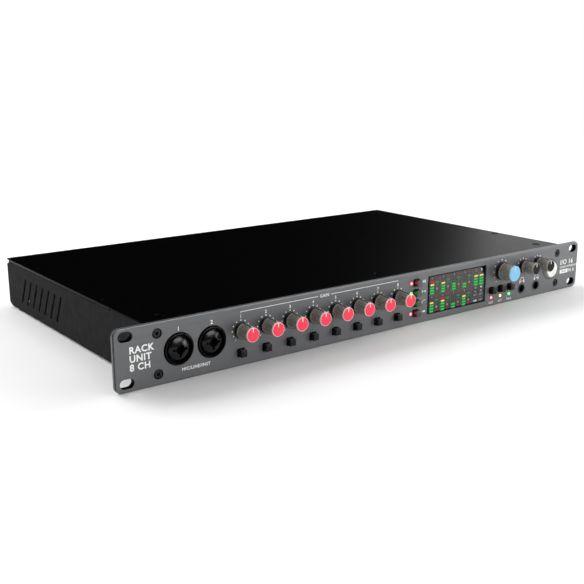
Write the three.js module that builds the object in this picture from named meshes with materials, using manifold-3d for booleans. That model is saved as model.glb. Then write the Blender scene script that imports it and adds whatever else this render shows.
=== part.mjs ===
// A one-unit 19-inch rack audio interface: eight-channel preamp front panel, meter window,
// monitor section, steel case, boards and rear connectors. Millimetres, +Z up, the front faces -Y.
// Every piece is drawn in the panel frame (x = 0 on the centre line, y = 0 on the panel's front
// face, z = 0 on its lower edge); the exported group moves that frame to the middle of the unit.
import * as THREE from "three";
import { mergeVertices } from "three/addons/utils/BufferGeometryUtils.js";
import Module from "manifold-3d";

const wasm = await Module();
wasm.setup();

// ---------------------------------------------------------------- driving dimensions
const GAP = 0.3; // clearance between neighbouring pieces
const PANEL = { width: 482.6, height: 43.7, thick: 3, relief: 0.2, corner: 4 };
const MID_Z = PANEL.height / 2;
const RACK_SLOT = { spacingX: 465.1, spacingZ: 31.75, length: 10.4, width: 6.8 };

const CASE = { half: 216.6, front: PANEL.thick + GAP, back: 254.9, floor: 1, top: 43.2, sheet: 1.2 };
const COVER_SHEET = 1.1;
const LIP = { bottom: 40.6, front: 55.4, back: 249.5 }; // the cover's folded side lip
const FLANGE = 10; // how far the tray's tabs and top flanges reach inwards
const WALL_TOP = { front: 41.8, back: 40.2, step: 54.5 }; // the tray's side wall is lower under the lip
const VENT = { count: 7, first: 218.75, pitch: 12.2, z: 20.8, length: 25.8, width: 2.7, tilt: 28 };

const KNOB_REACH = 15.3; // how far every knob stands out of the panel
const CAP_THICK = 1;
const SMALL_KNOB = { skirt: 6.1, base: 5.75, tip: 5.15, sides: 16 };
const LARGE_KNOB = { skirt: 8.1, base: 7.6, tip: 6.75, sides: 20 };
const BUTTON_REACH = 4.2;
const REAR_REACH = 264; // the far end of the bayonet connector
const REAR_SIDES = 12; // of each large round piece at the back
const SHAFT = { radius: 3, hole: 4, back: 5.7 };
const BUTTON = { size: 5.1, hole: 6.1, flange: 7.4, back: 8.3 };
const BUTTON_TRAVEL = 1;

const COMBO = { x: [-193.6, -167.65], z: 22.4, radius: 11.1, hole: 11.45, reach: 1.2, body: 24 };
const GAIN = { count: 8, x: -143.8, pitch: 21.46, z: 26.35 };
const CHANNEL_BUTTON_Z = 9.8;
const FUNCTION = { x: 27.2, ledX: 21.6, z: 34.9, pitch: 8.5 };
const WINDOW = { x: 76.15, z: 21.75, width: 71.1, height: 32.5, recess: 0.9, thick: 2 };
const MONITOR = { x: 131.65, knobZ: 30.2, buttonPitch: 11.95, buttonZ: 14.2, ledZ: 7.7 };
const PHONES = { x: [160.7, 180.9], knobZ: 30.3, jackZ: 9.6 };
const POWER = { x: 200, z: 22.2, radius: 8.7, face: 7.3, hole: 9.05, reach: 3, flange: 9.6 };
const POWER_TRAVEL = 1.5;
const LED_RADIUS = 1.3;
const SCREW = { x: 209.55, z: 14.1, head: 3.4, shank: 1.9, sink: 1.9, length: 9 };
const COVER_SCREW = { side: [[209.5, 75], [209.5, 196]], front: [-198, 0, 198], frontY: 16, hole: 3.6 };

const JACK = { barrel: 4.25, hole: 3.2, clear: 4.55 }; // quarter-inch jack socket
const REAR = {
  inlet: -180,
  digital: { from: -159, to: -42 },
  din: [-136, -114],
  usb: -96,
  optical: { x: [-80, -65], z: [13, 30] },
  coax: { x: -53, z: [13, 30] },
  clock: -153, // the bayonet connector, beside the mains inlet
  jacks: { x: -24, pitch: 16, count: 4, z: [13.4, 31] },
  combos: { x: 56, pitch: 27, count: 6, z: 22 },
  board: 4,
};

// ---------------------------------------------------------------- materials
const paint = (color, roughness = 0.5, metalness = 0) =>
  new THREE.MeshStandardMaterial({ color, roughness, metalness });
const MATERIAL = {
  panel: paint(0x6c6e70, 0.42, 0.6),
  caseBlack: paint(0x141414, 0.55, 0.2),
  screw: paint(0x1a1b1c, 0.4, 0.7),
  blackPlastic: paint(0x0b0b0b, 0.35),
  knobGrey: paint(0x7b766c, 0.6),
  capRed: paint(0xf23a4e, 0.5),
  capBlue: paint(0x6db7ee, 0.5),
  capDark: paint(0x2c2b29, 0.5),
  buttonBlack: paint(0x161616, 0.45),
  lens: paint(0x0f1011, 0.1),
  lightPipe: paint(0xe8e6df, 0.2),
  circuit: paint(0x1c4a2c, 0.6),
  powerWhite: paint(0xe6e4de, 0.35),
  metal: paint(0xb9bbbd, 0.35, 0.9),
};

// ---------------------------------------------------------------- shape helpers
// A closed three.js geometry as a manifold-3d solid, and back.
function solidOf(geometry) {
  const bare = geometry.index ? geometry.toNonIndexed() : geometry.clone();
  bare.deleteAttribute("normal");
  bare.deleteAttribute("uv");
  const merged = mergeVertices(bare, 1e-4);
  return new wasm.Manifold(
    new wasm.Mesh({
      numProp: 3,
      vertProperties: merged.attributes.position.array,
      triVerts: new Uint32Array(merged.index.array),
    }),
  );
}

function geometryOf(solid) {
  const mesh = solid.getMesh();
  return new THREE.BufferGeometry()
    .setAttribute("position", new THREE.BufferAttribute(mesh.vertProperties, 3))
    .setIndex(new THREE.BufferAttribute(mesh.triVerts, 1));
}

const join = (...geometries) => geometryOf(geometries.map(solidOf).reduce((a, b) => a.add(b)));

const cut = (geometry, ...tools) =>
  geometryOf(tools.map(solidOf).reduce((a, b) => a.subtract(b), solidOf(geometry)));

// A box between two corners.
function box(x0, x1, y0, y1, z0, z1) {
  return new THREE.BoxGeometry(x1 - x0, y1 - y0, z1 - z0).translate(
    (x0 + x1) / 2,
    (y0 + y1) / 2,
    (z0 + z1) / 2,
  );
}

// A box given by its centre and size in x and z, and its two ends in y.
const block = (x, z, width, height, y0, y1) =>
  box(x - width / 2, x + width / 2, y0, y1, z - height / 2, z + height / 2);

// A round bar along y.
const bar = (radius, x, z, y0, y1, sides = 16) =>
  new THREE.CylinderGeometry(radius, radius, y1 - y0, sides).translate(x, (y0 + y1) / 2, z);

// A round post along z.
const post = (radius, x, y, z0, z1, sides = 10) =>
  new THREE.CylinderGeometry(radius, radius, z1 - z0, sides)
    .rotateX(Math.PI / 2)
    .translate(x, y, (z0 + z1) / 2);

// A turned piece: [radius, y] pairs from one end of the axis to the other, front last.
const turned = (profile, sides, x = 0, z = 0) =>
  new THREE.LatheGeometry(
    profile.map(([r, y]) => new THREE.Vector2(r, y)),
    sides,
  ).translate(x, 0, z);

// A closed outline of points, and one with round ends of the given half width.
const outline = (points) => new THREE.Shape(points.map(([a, b]) => new THREE.Vector2(a, b)));

function roundRect(width, height, radius) {
  const [w, h, r] = [width / 2, height / 2, radius];
  const shape = new THREE.Shape();
  shape.absarc(w - r, h - r, r, 0, Math.PI / 2);
  shape.absarc(-w + r, h - r, r, Math.PI / 2, Math.PI);
  shape.absarc(-w + r, -h + r, r, Math.PI, 1.5 * Math.PI);
  shape.absarc(w - r, -h + r, r, 1.5 * Math.PI, 2 * Math.PI);
  return shape;
}

// An outline in x and z made thick along y, and one in y and z made thick along x.
const plateY = (shape, y0, y1, curveSegments = 6) =>
  new THREE.ExtrudeGeometry(shape, { depth: y1 - y0, bevelEnabled: false, curveSegments })
    .rotateX(Math.PI / 2)
    .translate(0, y1, 0);

const SIDEWAYS = new THREE.Matrix4().makeBasis(
  new THREE.Vector3(0, 1, 0),
  new THREE.Vector3(0, 0, 1),
  new THREE.Vector3(1, 0, 0),
);
const plateX = (shape, x0, x1, curveSegments = 4) =>
  new THREE.ExtrudeGeometry(shape, { depth: x1 - x0, bevelEnabled: false, curveSegments })
    .applyMatrix4(SIDEWAYS)
    .translate(x0, 0, 0);

// ---------------------------------------------------------------- places that repeat
const range = (count) => [...Array(count).keys()];
const gainX = range(GAIN.count).map((i) => GAIN.x + i * GAIN.pitch);
const functionZ = range(4).map((i) => FUNCTION.z - i * FUNCTION.pitch);
const monitorX = [-1, 0, 1].map((i) => MONITOR.x + i * MONITOR.buttonPitch);
const rearComboX = range(REAR.combos.count).map((i) => REAR.combos.x + i * REAR.combos.pitch);
const rearJackX = range(REAR.jacks.count).map((i) => REAR.jacks.x + i * REAR.jacks.pitch);
const knobPlaces = [
  ...gainX.map((x) => [x, GAIN.z]),
  [MONITOR.x, MONITOR.knobZ],
  ...PHONES.x.map((x) => [x, PHONES.knobZ]),
];
const buttonPlaces = [
  ...gainX.map((x) => [x, CHANNEL_BUTTON_Z]),
  ...functionZ.map((z) => [FUNCTION.x, z]),
  ...monitorX.map((x) => [x, MONITOR.buttonZ]),
];
const ledPlaces = [
  ...functionZ.map((z) => [FUNCTION.ledX, z]),
  ...monitorX.map((x) => [x, MONITOR.ledZ]),
];
const screwPlaces = [
  [-SCREW.x, MID_Z + SCREW.z],
  [-SCREW.x, MID_Z - SCREW.z],
  [SCREW.x, MID_Z + SCREW.z],
  [SCREW.x, MID_Z - SCREW.z],
];
const coverScrewPlaces = [
  ...COVER_SCREW.side.flatMap(([x, y]) => [[-x, y], [x, y]]),
  ...COVER_SCREW.front.map((x) => [x, COVER_SCREW.frontY]),
];

// ---------------------------------------------------------------- front panel
function frontPanel() {
  const through = [-1, PANEL.thick + 1];
  const plate = plateY(roundRect(PANEL.width, PANEL.height, PANEL.corner), 0, PANEL.thick, 4);
  plate.translate(0, 0, MID_Z);
  const holes = [];
  for (const side of [-1, 1]) {
    for (const level of [-1, 1]) {
      const { length, width, spacingX, spacingZ } = RACK_SLOT;
      const slot = plateY(roundRect(length, width, width / 2 - 0.2), ...through, 2);
      holes.push(slot.translate((side * spacingX) / 2, 0, MID_Z + (level * spacingZ) / 2));
    }
  }
  for (const x of COMBO.x) holes.push(bar(COMBO.hole, x, COMBO.z, ...through, 20));
  for (const [x, z] of knobPlaces) holes.push(bar(SHAFT.hole, x, z, ...through, 6));
  for (const [x, z] of buttonPlaces) holes.push(block(x, z, BUTTON.hole, BUTTON.hole, ...through));
  for (const [x, z] of ledPlaces) holes.push(bar(LED_RADIUS + GAP, x, z, ...through, 6));
  for (const x of PHONES.x) holes.push(bar(JACK.clear, x, PHONES.jackZ, ...through, 12));
  holes.push(bar(POWER.hole, POWER.x, POWER.z, ...through, 20));
  holes.push(block(WINDOW.x, WINDOW.z, WINDOW.width, WINDOW.height, ...through));
  for (const [x, z] of screwPlaces) {
    const { head, shank, sink } = SCREW;
    const [rim, bore] = [head + 1.5 * GAP, shank + GAP];
    holes.push(turned([[0, -1], [rim, -1], [rim, 0.2], [bore, sink + GAP], [bore, 4], [0, 4]], 10, x, z));
  }
  // the plate is a little thinner where the case meets it, so that the two ears stand proud
  const edge = CASE.half + 1;
  holes.push(box(-edge, edge, PANEL.thick - PANEL.relief, PANEL.thick + 1, -1, PANEL.height + 1));
  return cut(plate, ...holes);
}

// A countersunk socket screw, drawn about its own axis with the head's face near y = 0.
function panelScrew() {
  const { head, shank, sink, length } = SCREW;
  const body = turned([[0, 0.1], [head, 0.1], [head, 0.3], [shank, sink], [shank, length], [0, length]], 10);
  const socket = bar(1.3, 0, 0, -1, 1.5, 6);
  return cut(body, socket);
}

// ---------------------------------------------------------------- case
function ventSlot(index, x0, x1) {
  const { width, length, tilt, first, pitch, z } = VENT;
  const shape = roundRect(width, length, width / 2 - 0.1);
  return plateX(shape, x0, x1, 1)
    .rotateX(THREE.MathUtils.degToRad(tilt))
    .translate(0, first - index * pitch, z);
}

function chassisTray() {
  const { half, front, back, floor, sheet } = CASE;
  const side = outline([
    [front, floor],
    [back - 4.5, floor],
    [back, floor + 2.4],
    [back, WALL_TOP.back - 2],
    [back - 4.4, WALL_TOP.back],
    [WALL_TOP.step, WALL_TOP.back],
    [WALL_TOP.step, WALL_TOP.front],
    [front, WALL_TOP.front],
  ]);
  const pieces = [
    box(-half, half, front, back - 4.5, floor, floor + sheet),
    box(-half + 0.1, half - 0.1, 9, 23, WALL_TOP.front - sheet, WALL_TOP.front), // rail behind the panel
  ];
  const holes = [];
  for (const sign of [-1, 1]) {
    const [x0, x1] = sign < 0 ? [-half, -half + sheet] : [half - sheet, half];
    pieces.push(plateX(side, x0, x1));
    // the top flange that the cover's screws pull down on
    const inner = sign * (half - FLANGE);
    const across = [Math.min(inner, x0 + 0.1), Math.max(inner, x1 - 0.1)];
    pieces.push(box(...across, 40, 248, WALL_TOP.back - sheet, WALL_TOP.back));
    // two tabs turned in behind the panel, which its screws hold
    pieces.push(box(...across, front, front + sheet, floor + 0.1, 13));
    pieces.push(box(...across, front, front + sheet, 31, WALL_TOP.front - 0.1));
    for (let i = 0; i < VENT.count; i++) holes.push(ventSlot(i, x0 - 1, x1 + 1));
  }
  for (const [x, z] of screwPlaces) holes.push(bar(SCREW.shank + 2 * GAP, x, z, front - 1, front + sheet + 1, 6));
  for (const [x, y] of coverScrewPlaces)
    holes.push(post(1.6, x, y, WALL_TOP.back - 3, WALL_TOP.front + 1, 6));
  return cut(join(...pieces), ...holes);
}

function topCover() {
  const { half, front, back, top } = CASE;
  const plate = box(-half, half, front, back, top - COVER_SHEET, top);
  const lips = [-1, 1].map((sign) => {
    const outer = sign * half;
    const inner = sign * (half - COVER_SHEET);
    return box(Math.min(outer, inner), Math.max(outer, inner), LIP.front, LIP.back, LIP.bottom, top - 0.1);
  });
  const holes = coverScrewPlaces.map(([x, y]) => post(COVER_SCREW.hole, x, y, top - 3, top + 1, 10));
  return cut(join(plate, ...lips), ...holes);
}

function rearPanel() {
  const { half, back, floor, sheet } = CASE;
  const edge = half - sheet - GAP;
  const plate = box(-edge, edge, back - sheet, back, floor + sheet + GAP, WALL_TOP.front);
  const through = [back - 3, back + 1];
  const holes = [block(REAR.inlet, MID_Z, 28.6, 20.6, ...through)];
  for (const x of rearComboX) holes.push(bar(COMBO.hole, x, REAR.combos.z, ...through, REAR_SIDES));
  for (const x of rearJackX)
    for (const z of REAR.jacks.z) holes.push(bar(JACK.clear, x, z, ...through, 8));
  for (const x of REAR.din) holes.push(bar(8.5, x, 21, ...through, 16));
  for (const x of REAR.optical.x)
    for (const z of REAR.optical.z) holes.push(block(x, z, 11.6, 11.6, ...through));
  for (const z of REAR.coax.z) holes.push(bar(5, REAR.coax.x, z, ...through, 10));
  holes.push(bar(6.6, REAR.clock, 21, ...through, 12));
  holes.push(block(REAR.usb, 10, 10, 4.4, ...through));
  return cut(plate, ...holes);
}

// ---------------------------------------------------------------- front sockets and window
// A combined XLR and jack socket about its own axis, facing -y: a round bezel, a ring groove for
// the plug's shell, and a core with the jack hole and three pin holes.
function comboShapes(sides) {
  const { radius, reach } = COMBO;
  const bezel = [[0, -reach], [radius - 0.4, -reach], [radius, -reach + 0.4], [radius, 6], [0, 6]];
  const barrel = turned(bezel, sides);
  const groove = turned([[8, -4], [9.8, -4], [9.8, 10], [8, 10], [8, -4]], sides);
  const core = bar(8.4, 0, 0, -3, 0.2, sides);
  const jack = bar(JACK.hole, 0, 0, -3, 28, 12);
  const pins = [[-4.7, 0], [4.7, 0], [0, -4.7]].map(([x, z]) => bar(1.3, x, z, -3, 9, 6));
  return { barrel, groove, core, jack, pins };
}

function comboJack() {
  const { barrel, groove, core, jack, pins } = comboShapes(20);
  const flange = block(0, -0.5, COMBO.body, 30, PANEL.thick + GAP, 5.5);
  const body = block(0, -0.5, COMBO.body, 27, 5.4, 32);
  return cut(join(barrel, flange, body), groove, core, jack, ...pins);
}

function phonesJack() {
  const barrel = bar(JACK.barrel, 0, 0, -0.6, 5, 12);
  const body = block(0, 0, 12, 12.6, PANEL.thick + GAP, 26);
  return cut(join(barrel, body), bar(JACK.hole, 0, 0, -2, 24, 12));
}

function meterWindow() {
  const { x, z, width, height, recess, thick } = WINDOW;
  return block(x, z, width - 2 * GAP, height - 2 * GAP, recess, recess + thick);
}

// Light pipes: one moulded bar behind the panel with a peg through it for each lamp.
function lightPipe(places, x0, x1, z0, z1) {
  const rail = box(x0, x1, PANEL.thick + GAP, PANEL.thick + 2, z0, z1);
  return join(rail, ...places.map(([x, z]) => bar(LED_RADIUS, x, z, -0.3, PANEL.thick + 1, 6)));
}

// ---------------------------------------------------------------- knobs and buttons
// A knob about its own axis: a shaft through the panel, a thin skirt and a slightly tapered barrel.
// The printed cap closes the barrel's front.
function knob({ skirt, base, tip, sides }) {
  const front = -KNOB_REACH + CAP_THICK + GAP;
  return turned(
    [
      [0, front],
      [tip, front],
      [base, -2.3],
      [skirt, -2.3],
      [skirt, -0.8],
      [SHAFT.radius, -0.8],
      [SHAFT.radius, SHAFT.back],
      [0, SHAFT.back],
    ],
    sides,
  );
}

const knobCap = ({ tip, sides }) => bar(tip, 0, 0, -KNOB_REACH, -KNOB_REACH + CAP_THICK, sides);

// A square push button about its own axis: bevelled cap, retaining flange, stem to its switch.
function button() {
  const { size, flange, back } = BUTTON;
  const bevel = 0.3;
  const half = size / 2 - bevel;
  const face = outline([[-half, -half], [half, -half], [half, half], [-half, half]]);
  const cap = new THREE.ExtrudeGeometry(face, {
    depth: BUTTON_REACH + PANEL.thick,
    bevelThickness: bevel,
    bevelSize: bevel,
    bevelSegments: 1,
  });
  cap.rotateX(Math.PI / 2).translate(0, PANEL.thick + bevel, 0);
  const lip = block(0, 0, flange, flange, PANEL.thick + GAP, PANEL.thick + 1.3);
  return join(cap, lip, block(0, 0, 3, 3, 4, back));
}

function powerButton() {
  const { radius, face, reach, flange } = POWER;
  const cap = turned(
    [
      [0, -reach],
      [face - 0.5, -reach],
      [face, -reach + 0.4],
      [radius, -0.2],
      [radius, PANEL.thick + GAP],
      [flange, PANEL.thick + GAP],
      [flange, PANEL.thick + 1.3],
      [0, PANEL.thick + 1.3],
    ],
    20,
  );
  return join(cap, block(0, 0, 4, 4, 4, 8));
}

// ---------------------------------------------------------------- boards
const BOARD_Y = 12;
const PCB = 1.6;

function meterBoard() {
  const { x, z, width, height } = WINDOW;
  const back = PANEL.thick + 3.4;
  const pieces = [block(x, z, width - 3, height - 1.5, back, back + PCB)];
  for (const row of [-7.7, 7.7])
    for (const i of range(4))
      pieces.push(block(x - 27.9 + 13 * i, z + row, 10.5, 13, PANEL.thick + 0.6, back + 0.1));
  pieces.push(block(x + 29, z, 11, 28, PANEL.thick + 0.6, back + 0.1));
  return join(...pieces);
}

function controlBoard() {
  const pieces = [box(-152, 204, BOARD_Y, BOARD_Y + PCB, 4.5, 38.6)];
  for (const [x, z] of knobPlaces) pieces.push(block(x, z, 10, 11, SHAFT.back + GAP, BOARD_Y + 0.1));
  const switchFront = BUTTON.back + BUTTON_TRAVEL + GAP;
  for (const [x, z] of buttonPlaces) pieces.push(block(x, z, 6, 6, switchFront, BOARD_Y + 0.1));
  pieces.push(block(POWER.x, POWER.z, 7.5, 8, 8 + POWER_TRAVEL + GAP, BOARD_Y + 0.1));
  const gaps = PHONES.x.map((x) => box(x - 6.6, x + 6.6, BOARD_Y - 1, BOARD_Y + 3, 0, 16.6));
  return cut(join(...pieces), ...gaps);
}

function mainBoard() {
  const [low, high] = [7, 7 + PCB];
  const pieces = [box(-118, 198, 40, 200, low, high)];
  for (const [x, y] of [[-110, 48], [-110, 192], [40, 48], [40, 192], [190, 48], [190, 192]])
    pieces.push(post(3, x, y, CASE.floor + CASE.sheet + GAP, low + 0.1));
  pieces.push(box(-30, -4, 96, 122, high - 0.1, high + 3));
  pieces.push(box(20, 38, 100, 118, high - 0.1, high + 2));
  for (const i of range(4)) pieces.push(box(70 + 30 * i, 80 + 30 * i, 130, 140, high - 0.1, high + 1.8));
  for (const x of [-90, -60, 150]) pieces.push(box(x, x + 22, 42, 48, high - 0.1, high + 8));
  return join(...pieces);
}

function powerSupply() {
  const floor = CASE.floor + CASE.sheet + GAP;
  const pieces = [box(-212, -128, 128, 234, floor, floor + 1.2), box(-208, -132, 134, 228, 9, 9 + PCB)];
  for (const [x, y] of [[-204, 138], [-136, 138], [-204, 224], [-136, 224]])
    pieces.push(post(3, x, y, floor + 0.5, 9.1));
  pieces.push(box(-186, -158, 160, 190, 10.5, 34)); // transformer
  pieces.push(post(8, -146, 152, 10.5, 32, 14), post(8, -146, 172, 10.5, 32, 14)); // reservoirs
  pieces.push(box(-154, -136, 186, 188.5, 10.5, 33)); // heat sink
  pieces.push(box(-186, -150, 206, 218, 10.5, 24)); // filter coil
  return join(...pieces);
}

function mainsInlet() {
  const { back } = CASE;
  const [x, z] = [REAR.inlet, MID_Z];
  const rim = back + GAP + 1.5;
  const flange = plateY(roundRect(40, 23, 3), back + GAP, rim, 3).translate(x, 0, z);
  const body = block(x, z, 28, 20, back - 17, back + GAP + 0.1);
  const recess = plateY(
    outline([[-12.2, 8], [-12.2, -5], [-9.2, -8], [9.2, -8], [12.2, -5], [12.2, 8]]),
    back - 15.5,
    rim + 1,
  ).translate(x, 0, z);
  const shell = cut(join(flange, body), recess);
  const pins = [[-7, 1.8], [7, 1.8], [0, -2.4]].map(([dx, dz]) =>
    block(x + dx, z + dz, 2, 4, back - 16, rim - 5.6),
  );
  return join(shell, ...pins);
}

// Eight quarter-inch jacks in four stacks and six combined sockets, soldered to one board.
function analogueBoard() {
  const { back, sheet } = CASE;
  const inside = back - sheet - GAP;
  const top = REAR.board + PCB;
  const pieces = [box(-36, 205, 210, inside - 1, REAR.board, top)];
  const hollows = [];
  for (const x of rearJackX) {
    pieces.push(box(x - 6.3, x + 6.3, inside - 22, inside, top - 0.1, 38));
    for (const z of REAR.jacks.z) {
      pieces.push(bar(JACK.barrel, x, z, inside - 1, back + 2.2, 8));
      hollows.push(bar(JACK.hole, x, z, back - 21, back + 3, 8));
    }
  }
  for (const x of rearComboX) {
    const z = REAR.combos.z;
    const { barrel, groove, jack } = comboShapes(REAR_SIDES);
    for (const shape of [barrel, groove, jack]) shape.rotateZ(Math.PI).translate(x, back, z);
    pieces.push(barrel, box(x - 12.4, x + 12.4, inside - 28, inside, top - 0.1, 37));
    hollows.push(groove, jack);
  }
  return cut(join(...pieces), ...hollows);
}

// USB, optical, coaxial, clock and MIDI connectors, soldered to one board.
function digitalBoard() {
  const { back, sheet } = CASE;
  const inside = back - sheet - GAP;
  const top = REAR.board + PCB;
  const pieces = [box(REAR.digital.from, REAR.digital.to, 240, inside - 1, REAR.board, top)];
  const hollows = [];
  for (const x of REAR.din) {
    pieces.push(box(x - 9.5, x + 9.5, inside - 12, inside, top - 0.1, 31));
    pieces.push(bar(8, x, 21, inside - 1, back + 0.4, REAR_SIDES));
    const [near, far] = [back - 8, back + 2];
    hollows.push(turned([[5.2, near], [6.9, near], [6.9, far], [5.2, far], [5.2, near]], REAR_SIDES, x, 21));
  }
  for (const x of REAR.optical.x) {
    pieces.push(box(x - 7, x + 7, inside - 12, inside, top - 0.1, 37));
    for (const z of REAR.optical.z) pieces.push(block(x, z, 11, 11, inside - 1, back + 0.8));
    for (const z of REAR.optical.z) hollows.push(block(x, z, 8, 8, back - 0.6, back + 2));
  }
  pieces.push(box(REAR.coax.x - 5.5, REAR.coax.x + 5.5, inside - 12, inside, top - 0.1, 36));
  for (const z of REAR.coax.z) {
    pieces.push(bar(4.6, REAR.coax.x, z, inside - 1, back + 1.5, 10));
    pieces.push(bar(3.9, REAR.coax.x, z, back, back + 7.5, 10));
    hollows.push(bar(1.6, REAR.coax.x, z, back - 3, back + 9, 6));
  }
  pieces.push(box(REAR.clock - 6, REAR.clock + 3.5, inside - 8, inside, top - 0.1, 28));
  pieces.push(bar(6.2, REAR.clock, 21, inside - 1, back + 2, 12));
  pieces.push(bar(4.8, REAR.clock, 21, back, REAR_REACH, 12));
  hollows.push(bar(3.6, REAR.clock, 21, back + 0.5, REAR_REACH + 1, 12));
  pieces.push(box(REAR.usb - 4.7, REAR.usb + 4.7, inside - 8, inside, top - 0.1, 11.7));
  pieces.push(block(REAR.usb, 10, 9.2, 3.4, inside - 1, back + 0.4));
  hollows.push(block(REAR.usb, 10, 8.4, 2.4, back - 5, back + 1));
  return cut(join(...pieces), ...hollows);
}

// ---------------------------------------------------------------- assembly
const unit = new THREE.Group();
unit.position.y = -(REAR_REACH - KNOB_REACH) / 2;

function add(name, geometry, material, x = 0, z = 0) {
  const mesh = new THREE.Mesh(geometry, material);
  mesh.name = name;
  mesh.position.set(x, 0, z);
  unit.add(mesh);
  return mesh;
}

// A knob and its cap turn together about the group's own y axis.
function addKnob(names, place, body, cap, capMaterial) {
  const turning = new THREE.Group();
  turning.position.set(place[0], 0, place[1]);
  unit.add(turning);
  turning.add(add(names[0], body, MATERIAL.knobGrey), add(names[1], cap, capMaterial));
}

add("front_panel", frontPanel(), MATERIAL.panel);
add("chassis_tray", chassisTray(), MATERIAL.caseBlack);
add("top_cover", topCover(), MATERIAL.caseBlack);
add("rear_panel", rearPanel(), MATERIAL.caseBlack);

const screw = panelScrew();
screwPlaces.forEach(([x, z], i) => add(`panel_screw_${i + 1}`, screw, MATERIAL.screw, x, z));

const combo = comboJack();
COMBO.x.forEach((x, i) => add(`combo_jack_${i + 1}`, combo, MATERIAL.blackPlastic, x, COMBO.z));

const phones = phonesJack();
["a", "b"].forEach((side, i) =>
  add(`phones_jack_${side}`, phones, MATERIAL.blackPlastic, PHONES.x[i], PHONES.jackZ),
);

add("meter_window", meterWindow(), MATERIAL.lens);
add("meter_board", meterBoard(), MATERIAL.circuit);
add("control_board", controlBoard(), MATERIAL.circuit);
add("main_board", mainBoard(), MATERIAL.circuit);
add("power_supply", powerSupply(), MATERIAL.metal);
add("mains_inlet", mainsInlet(), MATERIAL.blackPlastic);
add("analogue_io_board", analogueBoard(), MATERIAL.blackPlastic);
add("digital_io_board", digitalBoard(), MATERIAL.blackPlastic);

const { ledX } = FUNCTION;
add(
  "function_light_pipe",
  lightPipe(ledPlaces.slice(0, 4), ledX - 1.6, ledX + 1.2, functionZ[3] - 2, functionZ[0] + 2),
  MATERIAL.lightPipe,
);
add(
  "monitor_light_pipe",
  lightPipe(ledPlaces.slice(4), monitorX[0] - 2, monitorX[2] + 2, MONITOR.ledZ - 1.6, MONITOR.ledZ + 1.6),
  MATERIAL.lightPipe,
);

const smallKnob = knob(SMALL_KNOB);
const smallCap = knobCap(SMALL_KNOB);
gainX.forEach((x, i) =>
  addKnob([`gain_knob_${i + 1}`, `gain_cap_${i + 1}`], [x, GAIN.z], smallKnob, smallCap, MATERIAL.capRed),
);
addKnob(
  ["monitor_knob", "monitor_cap"],
  [MONITOR.x, MONITOR.knobZ],
  knob(LARGE_KNOB),
  knobCap(LARGE_KNOB),
  MATERIAL.capBlue,
);
["a", "b"].forEach((side, i) =>
  addKnob(
    [`phones_knob_${side}`, `phones_cap_${side}`],
    [PHONES.x[i], PHONES.knobZ],
    smallKnob,
    smallCap,
    MATERIAL.capDark,
  ),
);

const squareButton = button();
gainX.forEach((x, i) =>
  add(`channel_button_${i + 1}`, squareButton, MATERIAL.buttonBlack, x, CHANNEL_BUTTON_Z),
);
["phantom", "line", "highpass", "instrument"].forEach((name, i) =>
  add(`${name}_button`, squareButton, MATERIAL.buttonBlack, FUNCTION.x, functionZ[i]),
);
["cut", "alt", "talk"].forEach((name, i) =>
  add(`${name}_button`, squareButton, MATERIAL.buttonBlack, monitorX[i], MONITOR.buttonZ),
);
add("power_button", powerButton(), MATERIAL.powerWhite, POWER.x, POWER.z);

const audioInterface = new THREE.Group();
audioInterface.add(unit);
export default audioInterface;
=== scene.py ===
from math import atan2, cos, hypot, pi, radians, sin, sqrt

import bpy
from mathutils import Matrix, Vector
from mathutils.geometry import tessellate_polygon


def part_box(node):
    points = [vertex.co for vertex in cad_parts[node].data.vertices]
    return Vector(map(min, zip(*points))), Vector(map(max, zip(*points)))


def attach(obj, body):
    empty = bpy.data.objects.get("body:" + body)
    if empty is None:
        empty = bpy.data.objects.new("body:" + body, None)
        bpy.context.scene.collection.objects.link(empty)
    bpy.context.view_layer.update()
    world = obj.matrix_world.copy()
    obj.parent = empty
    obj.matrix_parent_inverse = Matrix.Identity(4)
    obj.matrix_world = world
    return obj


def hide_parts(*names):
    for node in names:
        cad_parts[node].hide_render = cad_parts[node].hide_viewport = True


# The looks of a one-unit rack audio interface. Lengths are in millimetres in the panel's own frame:
# x across from the panel's middle, y back from its front face, z up from its lower edge.
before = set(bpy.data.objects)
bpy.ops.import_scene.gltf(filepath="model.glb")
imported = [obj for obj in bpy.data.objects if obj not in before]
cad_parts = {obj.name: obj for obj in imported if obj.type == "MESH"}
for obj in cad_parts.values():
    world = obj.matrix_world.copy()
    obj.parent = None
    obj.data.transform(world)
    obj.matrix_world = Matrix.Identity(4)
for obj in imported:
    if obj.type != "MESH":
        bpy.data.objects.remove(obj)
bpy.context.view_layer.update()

MM = 0.001
TURN = 2 * pi
ROOT = "chassis"
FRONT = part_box("front_panel")[0].y / MM


def span(node):
    """A CAD node's lowest and highest corner in the panel's frame."""
    lo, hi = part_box(node)
    shift = Vector((0, FRONT, 0))
    return Vector(lo) / MM - shift, Vector(hi) / MM - shift


def centre(node):
    lo, hi = span(node)
    return (lo + hi) / 2


def radius_of(node):
    lo, hi = span(node)
    return (hi.x - lo.x) / 2


def place(node, lift=0.0):
    """Where a piece with its own axis along y goes."""
    middle = centre(node)
    return (middle.x, 0, middle.z + lift)


# ---- sizes and places
PANEL_LO, PANEL_HI = span("front_panel")
WIDTH = PANEL_HI.x - PANEL_LO.x
HEIGHT = PANEL_HI.z
THICK = PANEL_HI.y
MID_Z = HEIGHT / 2
CASE_LO, CASE_HI = span("chassis_tray")
COVER_LO, COVER_HI = span("top_cover")
REAR = span("rear_panel")[1].y
HALF = CASE_HI.x

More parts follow.
